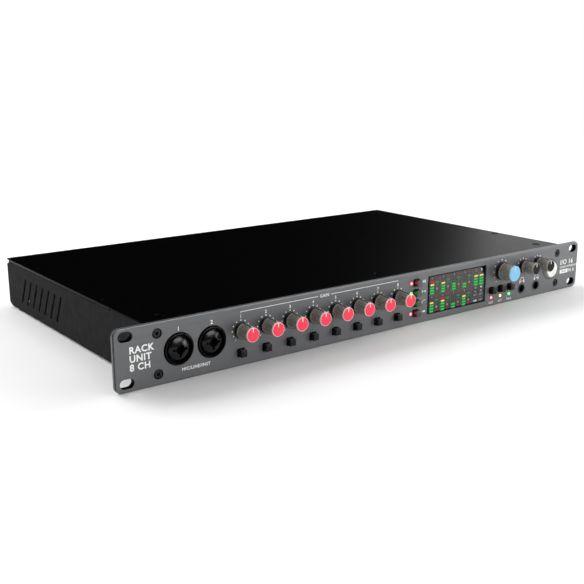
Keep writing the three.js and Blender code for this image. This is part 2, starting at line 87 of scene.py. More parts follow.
CHANNELS = range(1, 9)
GAIN_KNOBS = [f"gain_knob_{i}" for i in CHANNELS]
PHONES_KNOBS = ["phones_knob_a", "phones_knob_b"]
CHANNEL_BUTTONS = [f"channel_button_{i}" for i in CHANNELS]
FUNCTION_BUTTONS = ["phantom_button", "line_button", "highpass_button", "instrument_button"]
MONITOR_BUTTONS = ["cut_button", "alt_button", "talk_button"]
COMBO_JACKS = ["combo_jack_1", "combo_jack_2"]
PHONES_JACKS = ["phones_jack_a", "phones_jack_b"]
PANEL_SCREWS = [f"panel_screw_{i}" for i in range(1, 5)]

COMBO_PLACES = [place(node, 0.5) for node in COMBO_JACKS]
COMBO_RADIUS = 11.1
COMBO_FRONT = span("combo_jack_1")[0].y
WINDOW_LO, WINDOW_HI = span("meter_window")
FUNCTION_COLORS = ("red", "green", "green", "red")
FUNCTION_LED_X = span("function_light_pipe")[0].x + 1.6
FUNCTION_LEDS = [(FUNCTION_LED_X, 0, place(node)[2]) for node in FUNCTION_BUTTONS]
MONITOR_COLORS = ("red", "yellow", "green")
MONITOR_LEDS = [(place(node)[0], 0, centre("monitor_light_pipe").z) for node in MONITOR_BUTTONS]


# ---- outlines
def polar(a, b, radius, angle):
    return (a + radius * cos(angle), b + radius * sin(angle))


# An outline is a function of how far it is grown: outline(0) is its points, outline(0.2) the
# points of the same shape 0.2 mm bigger all round.
def circle(a, b, radius, sides=48, start=0.0):
    def points(grow):
        r = radius + grow
        return [polar(a, b, r, start + TURN * i / sides) for i in range(sides)]

    return points


def circles(places, radius, sides):
    """A circle at each place, whether it is given as (x, z) or as (x, y, z)."""
    return [circle(spot[0], spot[-1], radius, sides) for spot in places]


def round_rect(a, b, width, height, radius, steps=6, tilt=0.0):
    def points(grow):
        r = max(radius + grow, 0.01)
        w, h = width / 2 + grow - r, height / 2 + grow - r
        found = []
        for quarter, (sa, sb) in enumerate([(1, 1), (-1, 1), (-1, -1), (1, -1)]):
            for i in range(steps + 1):
                t = pi / 2 * (quarter + i / steps)
                found.append(polar(sa * w, sb * h, r, t))
        c, s = cos(tilt), sin(tilt)
        return [(a + p * c - q * s, b + p * s + q * c) for p, q in found]

    return points


def front_of(lo, hi, radius, steps):
    """The outline in x and z of the box between two corners."""
    middle, size = (lo + hi) / 2, hi - lo
    return round_rect(middle.x, middle.z, size.x, size.z, radius, steps)


def polygon(corners, radius, steps=4):
    """An outline with its corners given anticlockwise, each rounded, whichever way it turns."""

    def points(grow):
        found = []
        for i, corner in enumerate(corners):
            here = Vector(corner)
            before = (here - Vector(corners[i - 1])).normalized()
            after = (Vector(corners[(i + 1) % len(corners)]) - here).normalized()
            bend = atan2(before.x * after.y - before.y * after.x, before.dot(after))
            side = 1 if bend > 0 else -1
            r = max(radius + side * grow, 0.01)
            way = Vector((before.y + after.y, -before.x - after.x)).normalized()
            heart = here + way * ((grow - side * r) / cos(bend / 2))
            first = atan2(-before.x, before.y)
            for k in range(steps + 1):
                t = first + bend * k / steps
                found.append(polar(heart.x, heart.y, side * r, t))
        return found

    return points


def grown(outline, extra):
    return lambda grow: outline(grow + extra)


# ---- meshes
class Shape:
    """Vertices and faces in millimetres, with a material number for each face and its sharp edges."""

    def __init__(self, points=(), faces=(), sharp=()):
        self.points = [Vector(p) for p in points]
        self.faces = list(faces)
        self.paint = [0] * len(self.faces)
        self.sharp = set(sharp)

    def join(self, other, at=(0, 0, 0), paint=None, turn=None):
        move = Matrix.Translation(at) @ (turn or Matrix.Identity(4))
        first = len(self.points)
        self.points += [move @ p for p in other.points]
        self.faces += [[first + i for i in face] for face in other.faces]
        self.paint += other.paint if paint is None else [paint] * len(other.faces)
        self.sharp |= {(first + a, first + b) for a, b in other.sharp}
        return self

    def paint_where(self, test, paint):
        """Paint the faces whose corners all pass the test."""
        for i, face in enumerate(self.faces):
            if all(test(self.points[k]) for k in face):
                self.paint[i] = paint
        return self


AXES = {
    "x": lambda a, b, h: (h, a, b),
    "y": lambda a, b, h: (a, h, b),
    "z": lambda a, b, h: (a, b, h),
}


def loft(levels, axis="y"):
    """A solid through levels, each (height, outer loop, hole loops) of matching point counts."""
    flip = axis == "y"
    points, starts = [], []
    for height, outer, holes in levels:
        starts.append(len(points))
        points += [AXES[axis](a, b, height) for loop in [outer, *holes] for a, b in loop]
    sides, first = [], 0
    for loop in [levels[0][1], *levels[0][2]]:
        count = len(loop)
        sides.append([(first + i, first + (i + 1) % count) for i in range(count)])
        first += count
    faces, sharp = [], set()
    for low, high in zip(starts, starts[1:]):
        for number, loop in enumerate(sides):
            for i, j in loop:
                face = [low + i, low + j, high + j, high + i]
                faces.append(face if (number == 0) != flip else face[::-1])
    for end, start in enumerate((starts[0], starts[-1])):
        _, outer, holes = levels[-end]
        flat = [[Vector((a, b, 0)) for a, b in loop] for loop in [outer, *holes]]
        everything = [p for loop in flat for p in loop]
        for corners in tessellate_polygon(flat):
            p, q, r = (everything[i] for i in corners)
            anticlockwise = (q - p).cross(r - p).z > 0
            outward = anticlockwise == (end == 1)
            face = [start + i for i in corners]
            faces.append(face if outward != flip else face[::-1])
        sharp |= {(start + i, start + j) for loop in sides for i, j in loop}
    return Shape(points, faces, sharp)


def plate(outline, low, high, edges=(0.3, 0.3), holes=(), axis="y", steps=3, hole_share=1.0):
    """A plate of an outline with holes, its edges rounded off at its low and its high face."""
    levels = []
    for end, edge in enumerate(edges):
        for i in range(steps + 1):
            t = pi / 2 * (i / steps if end == 0 else 1 - i / steps)
            inset = edge * (1 - sin(t))
            rise = edge * (1 - cos(t))
            height = low + rise if end == 0 else high - rise
            levels.append((height, outline(-inset), [hole(inset * hole_share) for hole in holes]))
    return loft(levels, axis)


def stamp(outline, low, high):
    """A flat solid of an outline, with square edges."""
    return loft([(y, outline(0), []) for y in (low, high)])


def stack(rows, sides, hole):
    """A solid through (y, radius) rows with this many sides, and a straight hole through it."""
    return loft([(y, circle(0, 0, radius, sides)(0), [hole]) for y, radius in rows])


TOUCHING = 1e-6


def softened(line, reach, steps):
    """A profile with its corners rounded, except its two ends."""
    rounded = [line[0]]
    for before, here, after in zip(line, line[1:], line[2:]):
        cut = min(reach, (here - before).length * 0.45, (after - here).length * 0.45)
        start = here + (before - here).normalized() * cut
        end = here + (after - here).normalized() * cut
        for i in range(steps + 1):
            t = i / steps
            rounded.append(start * (1 - t) ** 2 + here * 2 * t * (1 - t) + end * t * t)
    return [*rounded, line[-1]]


def skin(rings):
    """The faces between rings of point numbers; a pole is one number repeated."""
    faces = []
    for low, high in zip(rings, rings[1:]):
        for i in range(len(low)):
            j = (i + 1) % len(low)
            corners = list(dict.fromkeys([low[i], low[j], high[j], high[i]]))
            if len(corners) > 2:
                faces.append(corners)
    return faces


def turned(profile, sides=48, soften=0.0, steps=3):
    """A lathed solid about the y axis from [radius, y] points; soften rounds the corners between."""
    line = [Vector(p) for p in profile]
    if soften:
        line = softened(line, soften, steps)
    points, rings = [], []
    closed = (line[0] - line[-1]).length < TOUCHING
    turns = [TURN * i / sides for i in range(sides)]
    for r, y in line[:-1] if closed else line:
        if r < TOUCHING:
            rings.append([len(points)] * sides)
            points.append((0, y, 0))
        else:
            rings.append(range(len(points), len(points) + sides))
            points += [(r * sin(t), y, r * cos(t)) for t in turns]
    faces = skin(rings + rings[:1] if closed else rings)
    # a profile that runs from the front backwards has its faces outwards
    backwards = sum((b.y - a.y) * (a.x + b.x) for a, b in zip(line, line[1:])) > 0
    return Shape(points, faces if backwards else [face[::-1] for face in faces])


def tube(inner, outer, low, high, sides=48):
    return turned([[inner, low], [inner, high], [outer, high], [outer, low], [inner, low]], sides)


def disc(radius, low, high, sides=48):
    return turned([[0, low], [radius, low], [radius, high], [0, high]], sides)


def ribbon(points, width, low, high):
    """A printed line of one width along points in x and z, with square ends."""
    path = [Vector(p) for p in points]
    ways = [(end - start).normalized() for start, end in zip(path, path[1:])]
    left, right = [], []
    for i, here in enumerate(path):
        near = ways[max(i - 1, 0):i + 1]
        way = sum(near, Vector((0, 0))).normalized()
        side = Vector((-way.y, way.x)) * (width / 2 / max(way.dot(near[0]), 0.5))
        left.append(here + side)
        right.append(here - side)
    return stamp(lambda grow: right + left[::-1], low, high)


def arc(a, b, radius, first, last, steps=16):
    """Points round a centre, with angles in degrees clockwise from twelve o'clock."""
    turns = [radians(first + (last - first) * i / steps) for i in range(steps + 1)]
    return [(a + radius * sin(t), b + radius * cos(t)) for t in turns]


CAPITAL_SHARE = 0.7  # the height of the font's capitals as a share of its size


def lettering(text, a, b, height, low, high, weight=0.03, align="CENTER"):
    """A word as a thin solid whose capitals are height tall, centred on (a, b), facing -y."""
    curve = bpy.data.curves.new("lettering", "FONT")
    curve.body = text
    curve.align_x = align
    curve.size = height / CAPITAL_SHARE
    curve.resolution_u = 3
    curve.space_character = 1.1
    curve.offset = weight
    maker = bpy.data.objects.new("lettering", curve)
    bpy.context.scene.collection.objects.link(maker)
    bpy.context.view_layer.update()
    mesh = bpy.data.meshes.new_from_object(maker)
    bpy.data.objects.remove(maker)
    flat = [(v.co.x + a, v.co.y + b - height / 2) for v in mesh.vertices]
    count = len(flat)
    points = [(x, y, z) for y in (low, high) for x, z in flat]
    faces = [list(p.vertices) for p in mesh.polygons]
    edges = {(i, j) for face in faces for i, j in zip(face, face[1:] + face[:1])}
    walls = [[j, i, i + count, j + count] for i, j in edges if (j, i) not in edges]
    back = [[count + i for i in face[::-1]] for face in faces]
    bpy.data.meshes.remove(mesh)
    return Shape(points, faces + back + walls)


def mesh_of(name, shape, smooth=40):
    mesh = bpy.data.meshes.new(name)
    mesh.from_pydata([p * MM for p in shape.points], [], shape.faces)
    mesh.polygons.foreach_set("material_index", shape.paint)
    mesh.update()
    mesh.shade_smooth()
    mesh.set_sharp_from_angle(angle=radians(smooth))
    if shape.sharp:
        wanted = {tuple(sorted(edge)) for edge in shape.sharp}
        marks = mesh.attributes.get("sharp_edge") or mesh.attributes.new("sharp_edge", "BOOLEAN", "EDGE")
        for edge in mesh.edges:
            if tuple(sorted(edge.vertices)) in wanted:
                marks.data[edge.index].value = True
    return mesh


def piece(name, shape, looks, body=ROOT, at=(0, 0, 0), replaces=(), smooth=40):
    """An object of the part: shape may be a mesh that other pieces share."""
    mesh = shape if isinstance(shape, bpy.types.Mesh) else mesh_of(name, shape, smooth)
    if not mesh.materials:
        for look in looks:
            mesh.materials.append(look.material)
    obj = bpy.data.objects.new(name, mesh)
    bpy.context.scene.collection.objects.link(obj)
    obj.location = (at[0] * MM, (at[1] + FRONT) * MM, at[2] * MM)
    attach(obj, body)
    if replaces:
        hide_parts(*replaces)
    return obj


def fitted(node, suffix, shape, looks, body=ROOT):
    """A piece in the place of a CAD node."""
    piece(f"{node}_{suffix}", shape, looks, body, place(node), [node])


# ---- materials
class Surface:
    """A Principled material, with short ways to give it patterns. A scale is one number or one per axis."""

    def __init__(self, name, color, roughness=0.5, metallic=0.0, level=0.5):
        self.material = bpy.data.materials.new(name)
        self.material.use_nodes = True
        self.tree = self.material.node_tree
        self.inputs = self.tree.nodes["Principled BSDF"].inputs
        self.color, self.roughness = color, roughness
        self.inputs["Base Color"].default_value = (*color, 1)
        self.inputs["Roughness"].default_value = roughness
        self.inputs["Metallic"].default_value = metallic
        self.inputs["Specular IOR Level"].default_value = level

    def node(self, kind, **sockets):
        made = self.tree.nodes.new("ShaderNode" + kind)
        for key, value in sockets.items():
            made.inputs[key.replace("_", " ")].default_value = value
        return made

    def link(self, start, end):
        self.tree.links.new(start, end)

    def noise(self, scale, detail=3.0):
        """Noise whose grain is 1/scale metres along each axis of the piece."""
        axes = scale if isinstance(scale, tuple) else (scale, scale, scale)
        coordinates = self.node("TexCoord")
        stretch = self.node("Mapping", Scale=axes)
        found = self.node("TexNoise", Scale=1.0, Detail=detail, Roughness=0.55)
        self.link(coordinates.outputs["Object"], stretch.inputs["Vector"])
        self.link(stretch.outputs["Vector"], found.inputs["Vector"])
        return found.outputs["Fac"]

    def ramp(self, value, low, high, start=0.3, end=0.7):
        """Colours from low to high as value goes from start to end."""
        made = self.node("ValToRGB")
        ends = made.color_ramp.elements
        ends[0].position, ends[1].position = start, end
        ends[0].color, ends[1].color = (*low, 1), (*high, 1)
        self.link(value, made.inputs["Fac"])
        return made.outputs["Color"]

    def spread(self, value, low, high, start=0.3, end=0.7):
        """A number from low to high as value goes from start to end."""
        made = self.node("MapRange", From_Min=start, From_Max=end, To_Min=low, To_Max=high)
        self.link(value, made.inputs["Value"])
        return made.outputs["Result"]

    def mottle(self, scale, share, detail=3.0):
        """The colour varies by this share up and down."""
        low = [c * (1 - share) for c in self.color]
        high = [min(1.0, c * (1 + share)) for c in self.color]
        self.link(self.ramp(self.noise(scale, detail), low, high), self.inputs["Base Color"])
        return self

    def scuff(self, scale, swing):
        """The roughness varies by this much up and down."""
        value = self.spread(self.noise(scale), self.roughness - swing, self.roughness + swing)
        self.link(value, self.inputs["Roughness"])
        return self

    def grain(self, scale, depth, detail=2.0):
        """A fine relief, depth millimetres deep."""
        bump = self.node("Bump", Strength=0.6, Distance=depth * MM)
        self.link(self.noise(scale, detail), bump.inputs["Height"])
        self.link(bump.outputs["Normal"], self.inputs["Normal"])
        return self

    def glow(self, color, strength, scale=500, share=0.2):
        """Light of this colour, dimmed by this share in places."""
        low = [c * (1 - share) for c in color]
        self.link(self.ramp(self.noise(scale), low, color), self.inputs["Emission Color"])
        self.inputs["Emission Strength"].default_value = strength
        return self


def grey(value):
    return (value, value, value)


def anodised_panel():
    made = Surface("anodised_panel", (0.13, 0.134, 0.14), 0.42, metallic=0.35)
    return made.mottle((25, 60, 1400), 0.09, 5).scuff((40, 90, 2200), 0.05).grain((60, 400, 5200), 0.012)


def powder_coat(name="powder_coat", roughness=0.3, shade=0.0015, level=0.035):
    made = Surface(name, (shade, shade, shade * 1.03), roughness, level=level)
    return made.mottle(160, 0.15).scuff(90, 0.012).grain(2600, 0.003, 3)


def gloss_black():
    return Surface("gloss_black", grey(0.0015), 0.14, level=0.01).mottle(400, 0.25).scuff(260, 0.05)


def core_black():
    return Surface("core_black", grey(0.003), 0.24, level=0.27).mottle(500, 0.2).scuff(420, 0.05)


def satin_black():
    made = Surface("satin_black", grey(0.004), 0.36, level=0.3)
    return made.mottle(500, 0.2).scuff(700, 0.05).grain(5000, 0.006)


def button_black(name="button_black", roughness=0.27, level=0.25):
    made = Surface(name, (0.006, 0.006, 0.0063), roughness, level=level)
    return made.mottle(600, 0.2).scuff(500, 0.05).grain(4200, 0.008)


def socket_dark():
    return Surface("socket_dark", grey(0.002), 0.7, level=0.05).mottle(300, 0.3)


def screw_black():
    made = Surface("screw_black", (0.014, 0.014, 0.0145), 0.28, level=0.3)
    return made.mottle(900, 0.3).scuff(1500, 0.08)


def knob_grey(name="knob_grey", shade=1.0):
    """Warm grey, with streaks that run along the barrel."""
    made = Surface(name, tuple(shade * c for c in (0.39, 0.366, 0.328)), 0.46)
    return made.mottle((1300, 22, 1300), 0.2, 4).scuff((900, 60, 900), 0.06).grain((2400, 90, 2400), 0.02)


def printed(name, color, roughness=0.42, metallic=0.0, level=0.4):
    made = Surface(name, color, roughness, metallic, level)
    return made.mottle(900, 0.05).scuff(1200, 0.05).grain(3800, 0.006)


def white_ink():
    return Surface("white_ink", (0.93, 0.93, 0.92)).mottle(1500, 0.06).scuff(1100, 0.06)


def smoked_window():
    return Surface("smoked_window", (0.026, 0.025, 0.027), 0.09).mottle((90, 90, 220), 0.2).scuff(120, 0.03)


def lamp(name, color, strength, body):
    return Surface(name, body, 0.25, level=0.12).mottle(700, 0.1).glow(color, strength)


def lamps_of(prefix, looks):
    """Glowing materials by name, from the colour and strength of their light and their own colour."""
    return {name: lamp(f"{prefix}_{name}", *look) for name, look in looks.items()}


def milky_white():
    made = Surface("milky_white", (0.8, 0.8, 0.78), 0.3)
    made.inputs["Subsurface Weight"].default_value = 0.3
    made.inputs["Subsurface Radius"].default_value = (0.004, 0.004, 0.0035)
    return made.mottle(260, 0.06).scuff(500, 0.06).glow((1.0, 0.98, 0.94), 0.12, 120, 0.25)


def nickel():
    return Surface("nickel", (0.62, 0.61, 0.58), 0.27, 1.0).mottle(700, 0.1).scuff(1400, 0.09)


def brass_contact():
    return Surface("brass_contact", (0.75, 0.53, 0.2), 0.3, 1.0).mottle(900, 0.12).scuff(1400, 0.08)


def supply_steel():
    made = Surface("supply_steel", (0.42, 0.43, 0.44), 0.4, 0.9)
    return made.mottle((40, 900, 900), 0.12).scuff((60, 700, 700), 0.08)


def solder_mask():
    """Green, with paler tracks that wander over the board."""
    made = Surface("solder_mask", (0.008, 0.06, 0.022), 0.35)
    tracks = made.ramp(made.noise(260, 1.0), (0.006, 0.045, 0.017), (0.02, 0.12, 0.04), 0.49, 0.53)
    made.link(tracks, made.inputs["Base Color"])
    return made.scuff(600, 0.1).grain(900, 0.03)


def pale_floor():
    """White, and lit evenly from below towards its rim, where it meets the white surroundings."""
    made = Surface("pale_floor", grey(0.93), 0.6).mottle(3, 0.01)
    glow_starts, glow_ends, most = 0.6, 1.5, 0.95
    distance = made.node("VectorMath")
    distance.operation = "LENGTH"
    made.link(made.node("TexCoord").outputs["Object"], distance.inputs[0])
    rise = made.spread(distance.outputs["Value"], 0.0, most, glow_starts, glow_ends)
    made.link(rise, made.inputs["Emission Strength"])
    made.inputs["Emission Color"].default_value = (1, 1, 1, 1)
    return made


PANEL_FINISH = anodised_panel()
# the curves of the panel's left and right ends are painted a darker grey: painted shade, which still shows
# highlights where it mirrors a lamp
PANEL_END_SHADE = printed("anodised_rim", (0.05, 0.051, 0.053), 0.3, 0.6)
COAT = powder_coat()
# the tray's copy of the black coat is lighter and rougher than the cover's: its lighter colour is painted
# light, so that the tray's sides come out as bright as the light they catch
TRAY_COAT_PAINTED_LIGHT = powder_coat("tray_coat", 0.6, 0.022, 0.012)
GLOSS = gloss_black()
SATIN = satin_black()
CORE = core_black()
BUTTON = button_black()
SIDE_LIT_BUTTON = button_black("side_lit_button", 0.42, 1.0)
DARK = socket_dark()
SCREW = screw_black()
GREY = knob_grey()
# a darker copy of the knob grey for the flutes: painted shade in the grooves
FLUTE_SHADE = knob_grey("knob_flute", 0.24)
INK = white_ink()
WHITE = printed("cap_white", (0.84, 0.82, 0.8))
# the red caps glow faintly though they are no lamp: painted light that brightens them
RED = printed("cap_red", (1.0, 0.045, 0.09), level=0.25).glow((0.08, 0.004, 0.008), 1.0)
BLUE = printed("cap_blue", (0.23, 0.58, 0.87), level=0.25)
PALE_RED = printed("cap_pale_red", (0.96, 0.72, 0.72))
PALE_BLUE = printed("cap_pale_blue", (0.42, 0.66, 0.86))
CHARCOAL = printed("cap_charcoal", grey(0.008), 0.24, level=0.1)
WINDOW = smoked_window()
MILKY = milky_white()
RING = printed("socket_ring", (0.085, 0.085, 0.088), 0.35)
CONE = printed("power_grey", (0.36, 0.36, 0.35), 0.3)
NICKEL = nickel()
BRASS = brass_contact()
STEEL = supply_steel()
BOARD = solder_mask()

LAMP = lamps_of("lamp", {
    "red": ((1.0, 0.075, 0.085), 12.0, (0.5, 0.1, 0.12)),
    "green": ((0.045, 1.0, 0.07), 10.0, (0.1, 0.5, 0.2)),
    "yellow": ((1.0, 0.5, 0.14), 5.0, (0.5, 0.42, 0.2)),
})
# glows painted on the left sides of the function buttons: painted light that stands in for the light of the
# lamp beside each
PAINTED_SIDE_GLOW = lamps_of("side_glow", {
    "red": ((0.36, 0.0, 0.008), 1.0, (0.01, 0.003, 0.003)),
    "green": ((0.004, 0.26, 0.02), 1.0, (0.003, 0.01, 0.004)),
})
# rings of glow painted on the panel round each lamp: painted light that stands in for the lamp's light
# falling on the panel
HALO_STEPS = 6
HALO = {}
for color, light in (("red", (1.0, 0.16, 0.22)), ("green", (0.16, 1.0, 0.25)), ("yellow", (1.0, 0.7, 0.25))):
    HALO[color] = []
    for i in range(HALO_STEPS):
        fade = 0.6 * (1 - i / (HALO_STEPS + 1)) ** 2
        HALO[color].append(lamp(f"halo_{color}_{i}", light, fade, (0.14, 0.144, 0.15)))
METER_LOOKS = lamps_of("segment", {
    "red": ((0.62, 0.002, 0.02), 1.0, (0.1, 0.01, 0.01)),
    "yellow": ((1.0, 0.84, 0.2), 1.15, (0.1, 0.08, 0.02)),
    "green": ((0.03, 0.7, 0.12), 1.0, (0.01, 0.08, 0.02)),
    "white": (grey(1.0), 1.0, grey(0.1)),
    "dim_red": ((0.22, 0.035, 0.05), 0.6, (0.08, 0.02, 0.02)),
    "dim_green": ((0.02, 0.22, 0.06), 0.8, (0.02, 0.06, 0.03)),
    "dim_yellow": ((0.4, 0.26, 0.12), 0.9, (0.06, 0.05, 0.02)),
    "grey": (grey(0.45), 0.7, grey(0.1)),
    "line": ((0.16, 0.1, 0.12), 0.7, grey(0.1)),
})
METER_LOOKS["off"] = printed("segment_off", (0.03, 0.02, 0.022), 0.3)
UNDER_GLOW = lamps_of("under", {
    "red": ((0.22, 0.02, 0.03), 0.8, (0.02, 0.01, 0.01)),
    "yellow": ((0.3, 0.2, 0.05), 0.8, (0.02, 0.02, 0.01)),
    "green": ((0.002, 0.2, 0.03), 1.0, (0.01, 0.02, 0.01)),
})
METER_LOOKS.update({f"under_{color}": look for color, look in UNDER_GLOW.items()})


# ---- front panel
PANEL_CORNER, ROUNDED_EDGE = 5.2, 1.05
SLOT_CENTRES = (465.1, 31.75)
SLOT_SIZE = (10.4, 6.8, 3.35, 8)
KNOB_HOLE, LAMP_HOLE, PHONES_HOLE, POWER_HOLE, SCREW_SINK = 4, 1.0, 4.5, 9.05, 3.45
BUTTON_HOLE = (6.1, 6.1, 0.5, 4)


def front_panel():
    half_across, half_up = SLOT_CENTRES[0] / 2, SLOT_CENTRES[1] / 2
    centres = [(x, z) for x in (-half_across, half_across) for z in (MID_Z - half_up, MID_Z + half_up)]
    slots = [round_rect(x, z, *SLOT_SIZE) for x, z in centres]
    holes = slots + circles(COMBO_PLACES, COMBO_RADIUS + 0.3, 72)
    holes += circles(map(place, GAIN_KNOBS + PHONES_KNOBS + ["monitor_knob"]), KNOB_HOLE, 24)
    for x, _, z in map(place, CHANNEL_BUTTONS + FUNCTION_BUTTONS + MONITOR_BUTTONS):
        holes.append(round_rect(x, z, *BUTTON_HOLE))
    holes += circles(FUNCTION_LEDS + MONITOR_LEDS, LAMP_HOLE, 24)
    holes += circles(map(place, PHONES_JACKS), PHONES_HOLE, 48)
    holes += circles(map(place, PANEL_SCREWS), SCREW_SINK, 48)
    holes += circles([place("power_button")], POWER_HOLE, 72)
    holes.append(grown(front_of(WINDOW_LO, WINDOW_HI, 0.55, 4), 0.25))
    outline = round_rect(0, MID_Z, WIDTH, HEIGHT, PANEL_CORNER, 12)
    shape = plate(outline, 0, THICK, (ROUNDED_EDGE, 0.25), holes, steps=6, hole_share=0.22)
    # paint the curves at the panel's two ends darker, as painted shade
    shape.paint_where(on_end_curve, 1)
    for slot in slots:
        # a black liner on the slot's wall: partly the wall's dark finish, partly painted shade
        wall = loft([(y, slot(-0.02), [slot(-0.1)]) for y in (0.4, THICK + 0.1)])
        shape.join(wall, paint=2)
        # a black collar behind the slot: painted shade, a dark sheet that deepens the shade seen through the
        # slot
        shape.join(plate(grown(slot, 0.9), THICK - 0.05, THICK + 2, (0.1, 0.3), [slot]), paint=2)
    return shape


def on_end_curve(point):
    """Whether a point of the panel lies on the curve of its front edge at its left or right end."""
    reach = ROUNDED_EDGE * 0.93
    across, up = WIDTH / 2 - abs(point.x), HEIGHT / 2 - abs(point.z - MID_Z)
    return point.y < ROUNDED_EDGE * 0.97 and across < 3 and (across < reach or up < reach)


def off_axis(point):
    return hypot(point.x, point.z)


def socket_screw():
    """A countersunk screw with a hexagon socket. The socket and a ring that fills the countersink round the
    head are painted near black: painted shade in the recess and the gap.
    """
    hexagon = circle(0, 0, 1.5, 6, pi / 6)
    head = stack([(0.35, 2.45), (0.4, 2.6), (0.55, 2.7), (1.1, 2.4)], 48, hexagon(0))
    rim = SCREW_SINK - 0.05
    # a near-black ring that fills the countersink round the head: painted shade of the gap between screw and
    # panel
    head.join(turned([[2.3, 1.2], [rim, 0.25], [rim, 1.7], [2.3, 1.7], [2.3, 1.2]]), paint=1)
    # the socket painted near black: painted shade in the recess
    head.paint_where(lambda point: off_axis(point) < 1.6, 1)
    shank = [[0, 1.0], [1.9, 1.0], [1.9, 1.8], [1.75, 2], [1.9, 2.2], [1.9, 8.6], [1.5, 9], [0, 9]]
    return head.join(turned(shank, 24), paint=1)


panel_looks = [PANEL_FINISH, PANEL_END_SHADE, GLOSS]
piece("front_panel_plate", front_panel(), panel_looks, replaces=["front_panel"])
screw = mesh_of("socket_screw", socket_screw())
for node in PANEL_SCREWS:
    fitted(node, "detail", screw, [SCREW, DARK])


# ---- sockets
JACK_RADIUS, NOTCH_REACH, CONTACT_RADIUS = 3.25, 5.8, 4.7
PIN_TURNS = (pi / 2, pi, 1.5 * pi)
CORE_RADIUS, CORE_DOME, CORE_EDGE = 8.3, 14, -0.1


def combo_socket():
    """A combined XLR and jack socket about its own axis: bezel, groove, and a core with its contacts."""
    outer, inner, front = COMBO_RADIUS, 9.1, COMBO_FRONT
    bezel = [[outer, 6], [outer, front + 0.6], [outer - 0.5, front], [inner + 0.3, front]]
    bezel += [[inner, front + 0.3], [inner, 9], [outer, 9], [outer, 6]]
    shape = turned(bezel, 96, soften=0.25, steps=5)
    shape.paint_where(lambda point: 9.9 < off_axis(point) < 10.75, 1)
    shape.join(domed_core(), paint=1)
    shape.join(turned([[3.2, 1.6], [3.2, 20], [3.8, 20], [3.8, 7.9], [3.2, 1.6]]), paint=2)
    shape.join(disc(9.6, 8, 9), paint=2)
    contact = turned([[0.5, 4.8], [0.75, 4.6], [0.85, 7.9], [0.5, 7.9], [0.5, 4.8]], 20)
    for t in PIN_TURNS:
        shape.join(contact, at=(CONTACT_RADIUS * sin(t), 0, CONTACT_RADIUS * cos(t)), paint=3)
    # the catch that holds a plug
    return shape.join(plate(round_rect(0, 8.55, 4.4, 1.1, 0.3, 3), -0.3, 6, (0.25, 0.1)), paint=1)


def domed_core():
    """A domed disc; its opening is the jack hole with a notch for each contact."""
    count = 144

    def opening(t):
        near = min(abs((t - turn + pi) % TURN - pi) for turn in PIN_TURNS)
        return max(JACK_RADIUS, NOTCH_REACH * cos(near) - 0.2 if near < 0.2 else 0)

    def ring(share, back):
        """Points share of the way from the opening to the rim, on the dome or behind it."""
        found = []
        for t in (TURN * i / count for i in range(count)):
            inner = opening(t)
            r = inner + (CORE_RADIUS - inner) * share
            rise = sqrt(CORE_DOME**2 - r * r) - sqrt(CORE_DOME**2 - CORE_RADIUS**2)
            found.append((r * sin(t), CORE_EDGE - rise + back, r * cos(t)))
        return found

    rings = [ring(0, 6), ring(0, 0.25), ring(0.03, 0.04), *(ring(k / 8, 0) for k in range(1, 8))]
    rings += [ring(0.97, 0.03), ring(1, 0.25), ring(1, 7)]
    numbers = [range(k * count, (k + 1) * count) for k in range(len(rings))]
    return Shape([p for loop in rings for p in loop], skin(numbers + numbers[:1]))


def phones_socket():
    ring = [[4.35, 3], [4.35, -0.35], [4.15, -0.6], [3.9, -0.5], [3.5, 0.1], [3.5, 5], [4.35, 5], [4.35, 3]]
    shape = turned(ring, 64, soften=0.15)
    shape.join(tube(3.1, 3.45, 0.2, 24), paint=1)
    return shape.join(disc(3.3, 23, 24, 32), paint=1)


def socket_housing(width, low, high, depth):
    """The moulded body behind the panel, with a shallow rib round its front."""
    body, rib = (round_rect(0, (low + high) / 2, width, high - low + more, 0.8, 4) for more in (0, 2))
    return plate(body, 5.3, depth, (0.3, 0.5)).join(plate(rib, 3.4, 5.6, (0.2, 0.2)))


combo_front = mesh_of("combo_socket", combo_socket())
combo_housing = mesh_of("combo_housing", socket_housing(24, -14, 13, 32))
phones_front = mesh_of("phones_socket", phones_socket())
phones_housing = mesh_of("phones_housing", socket_housing(12, -6.3, 6.3, 26))
COMBO_LOOKS = [GLOSS, CORE, DARK, BRASS]
for node, at in zip(COMBO_JACKS, COMBO_PLACES):
    piece(f"{node}_front", combo_front, COMBO_LOOKS, at=at, replaces=[node])
    piece(f"{node}_housing", combo_housing, [SATIN], at=at)
for node in PHONES_JACKS:
    fitted(node, "front", phones_front, [RING, DARK])
    piece(f"{node}_housing", phones_housing, [SATIN], at=place(node))


# ---- knobs
KNOB_FOOT = -3.1
BARREL_STEPS = 14
TIP_ROUNDING = 0.25
FLUTE_POINTS, FLUTE_DEPTH = 6, 0.24


def rising(value, start, end):
    """From 0 to 1 as value goes from start to end."""
    return min(1, max(0, (value - start) / (end - start)))


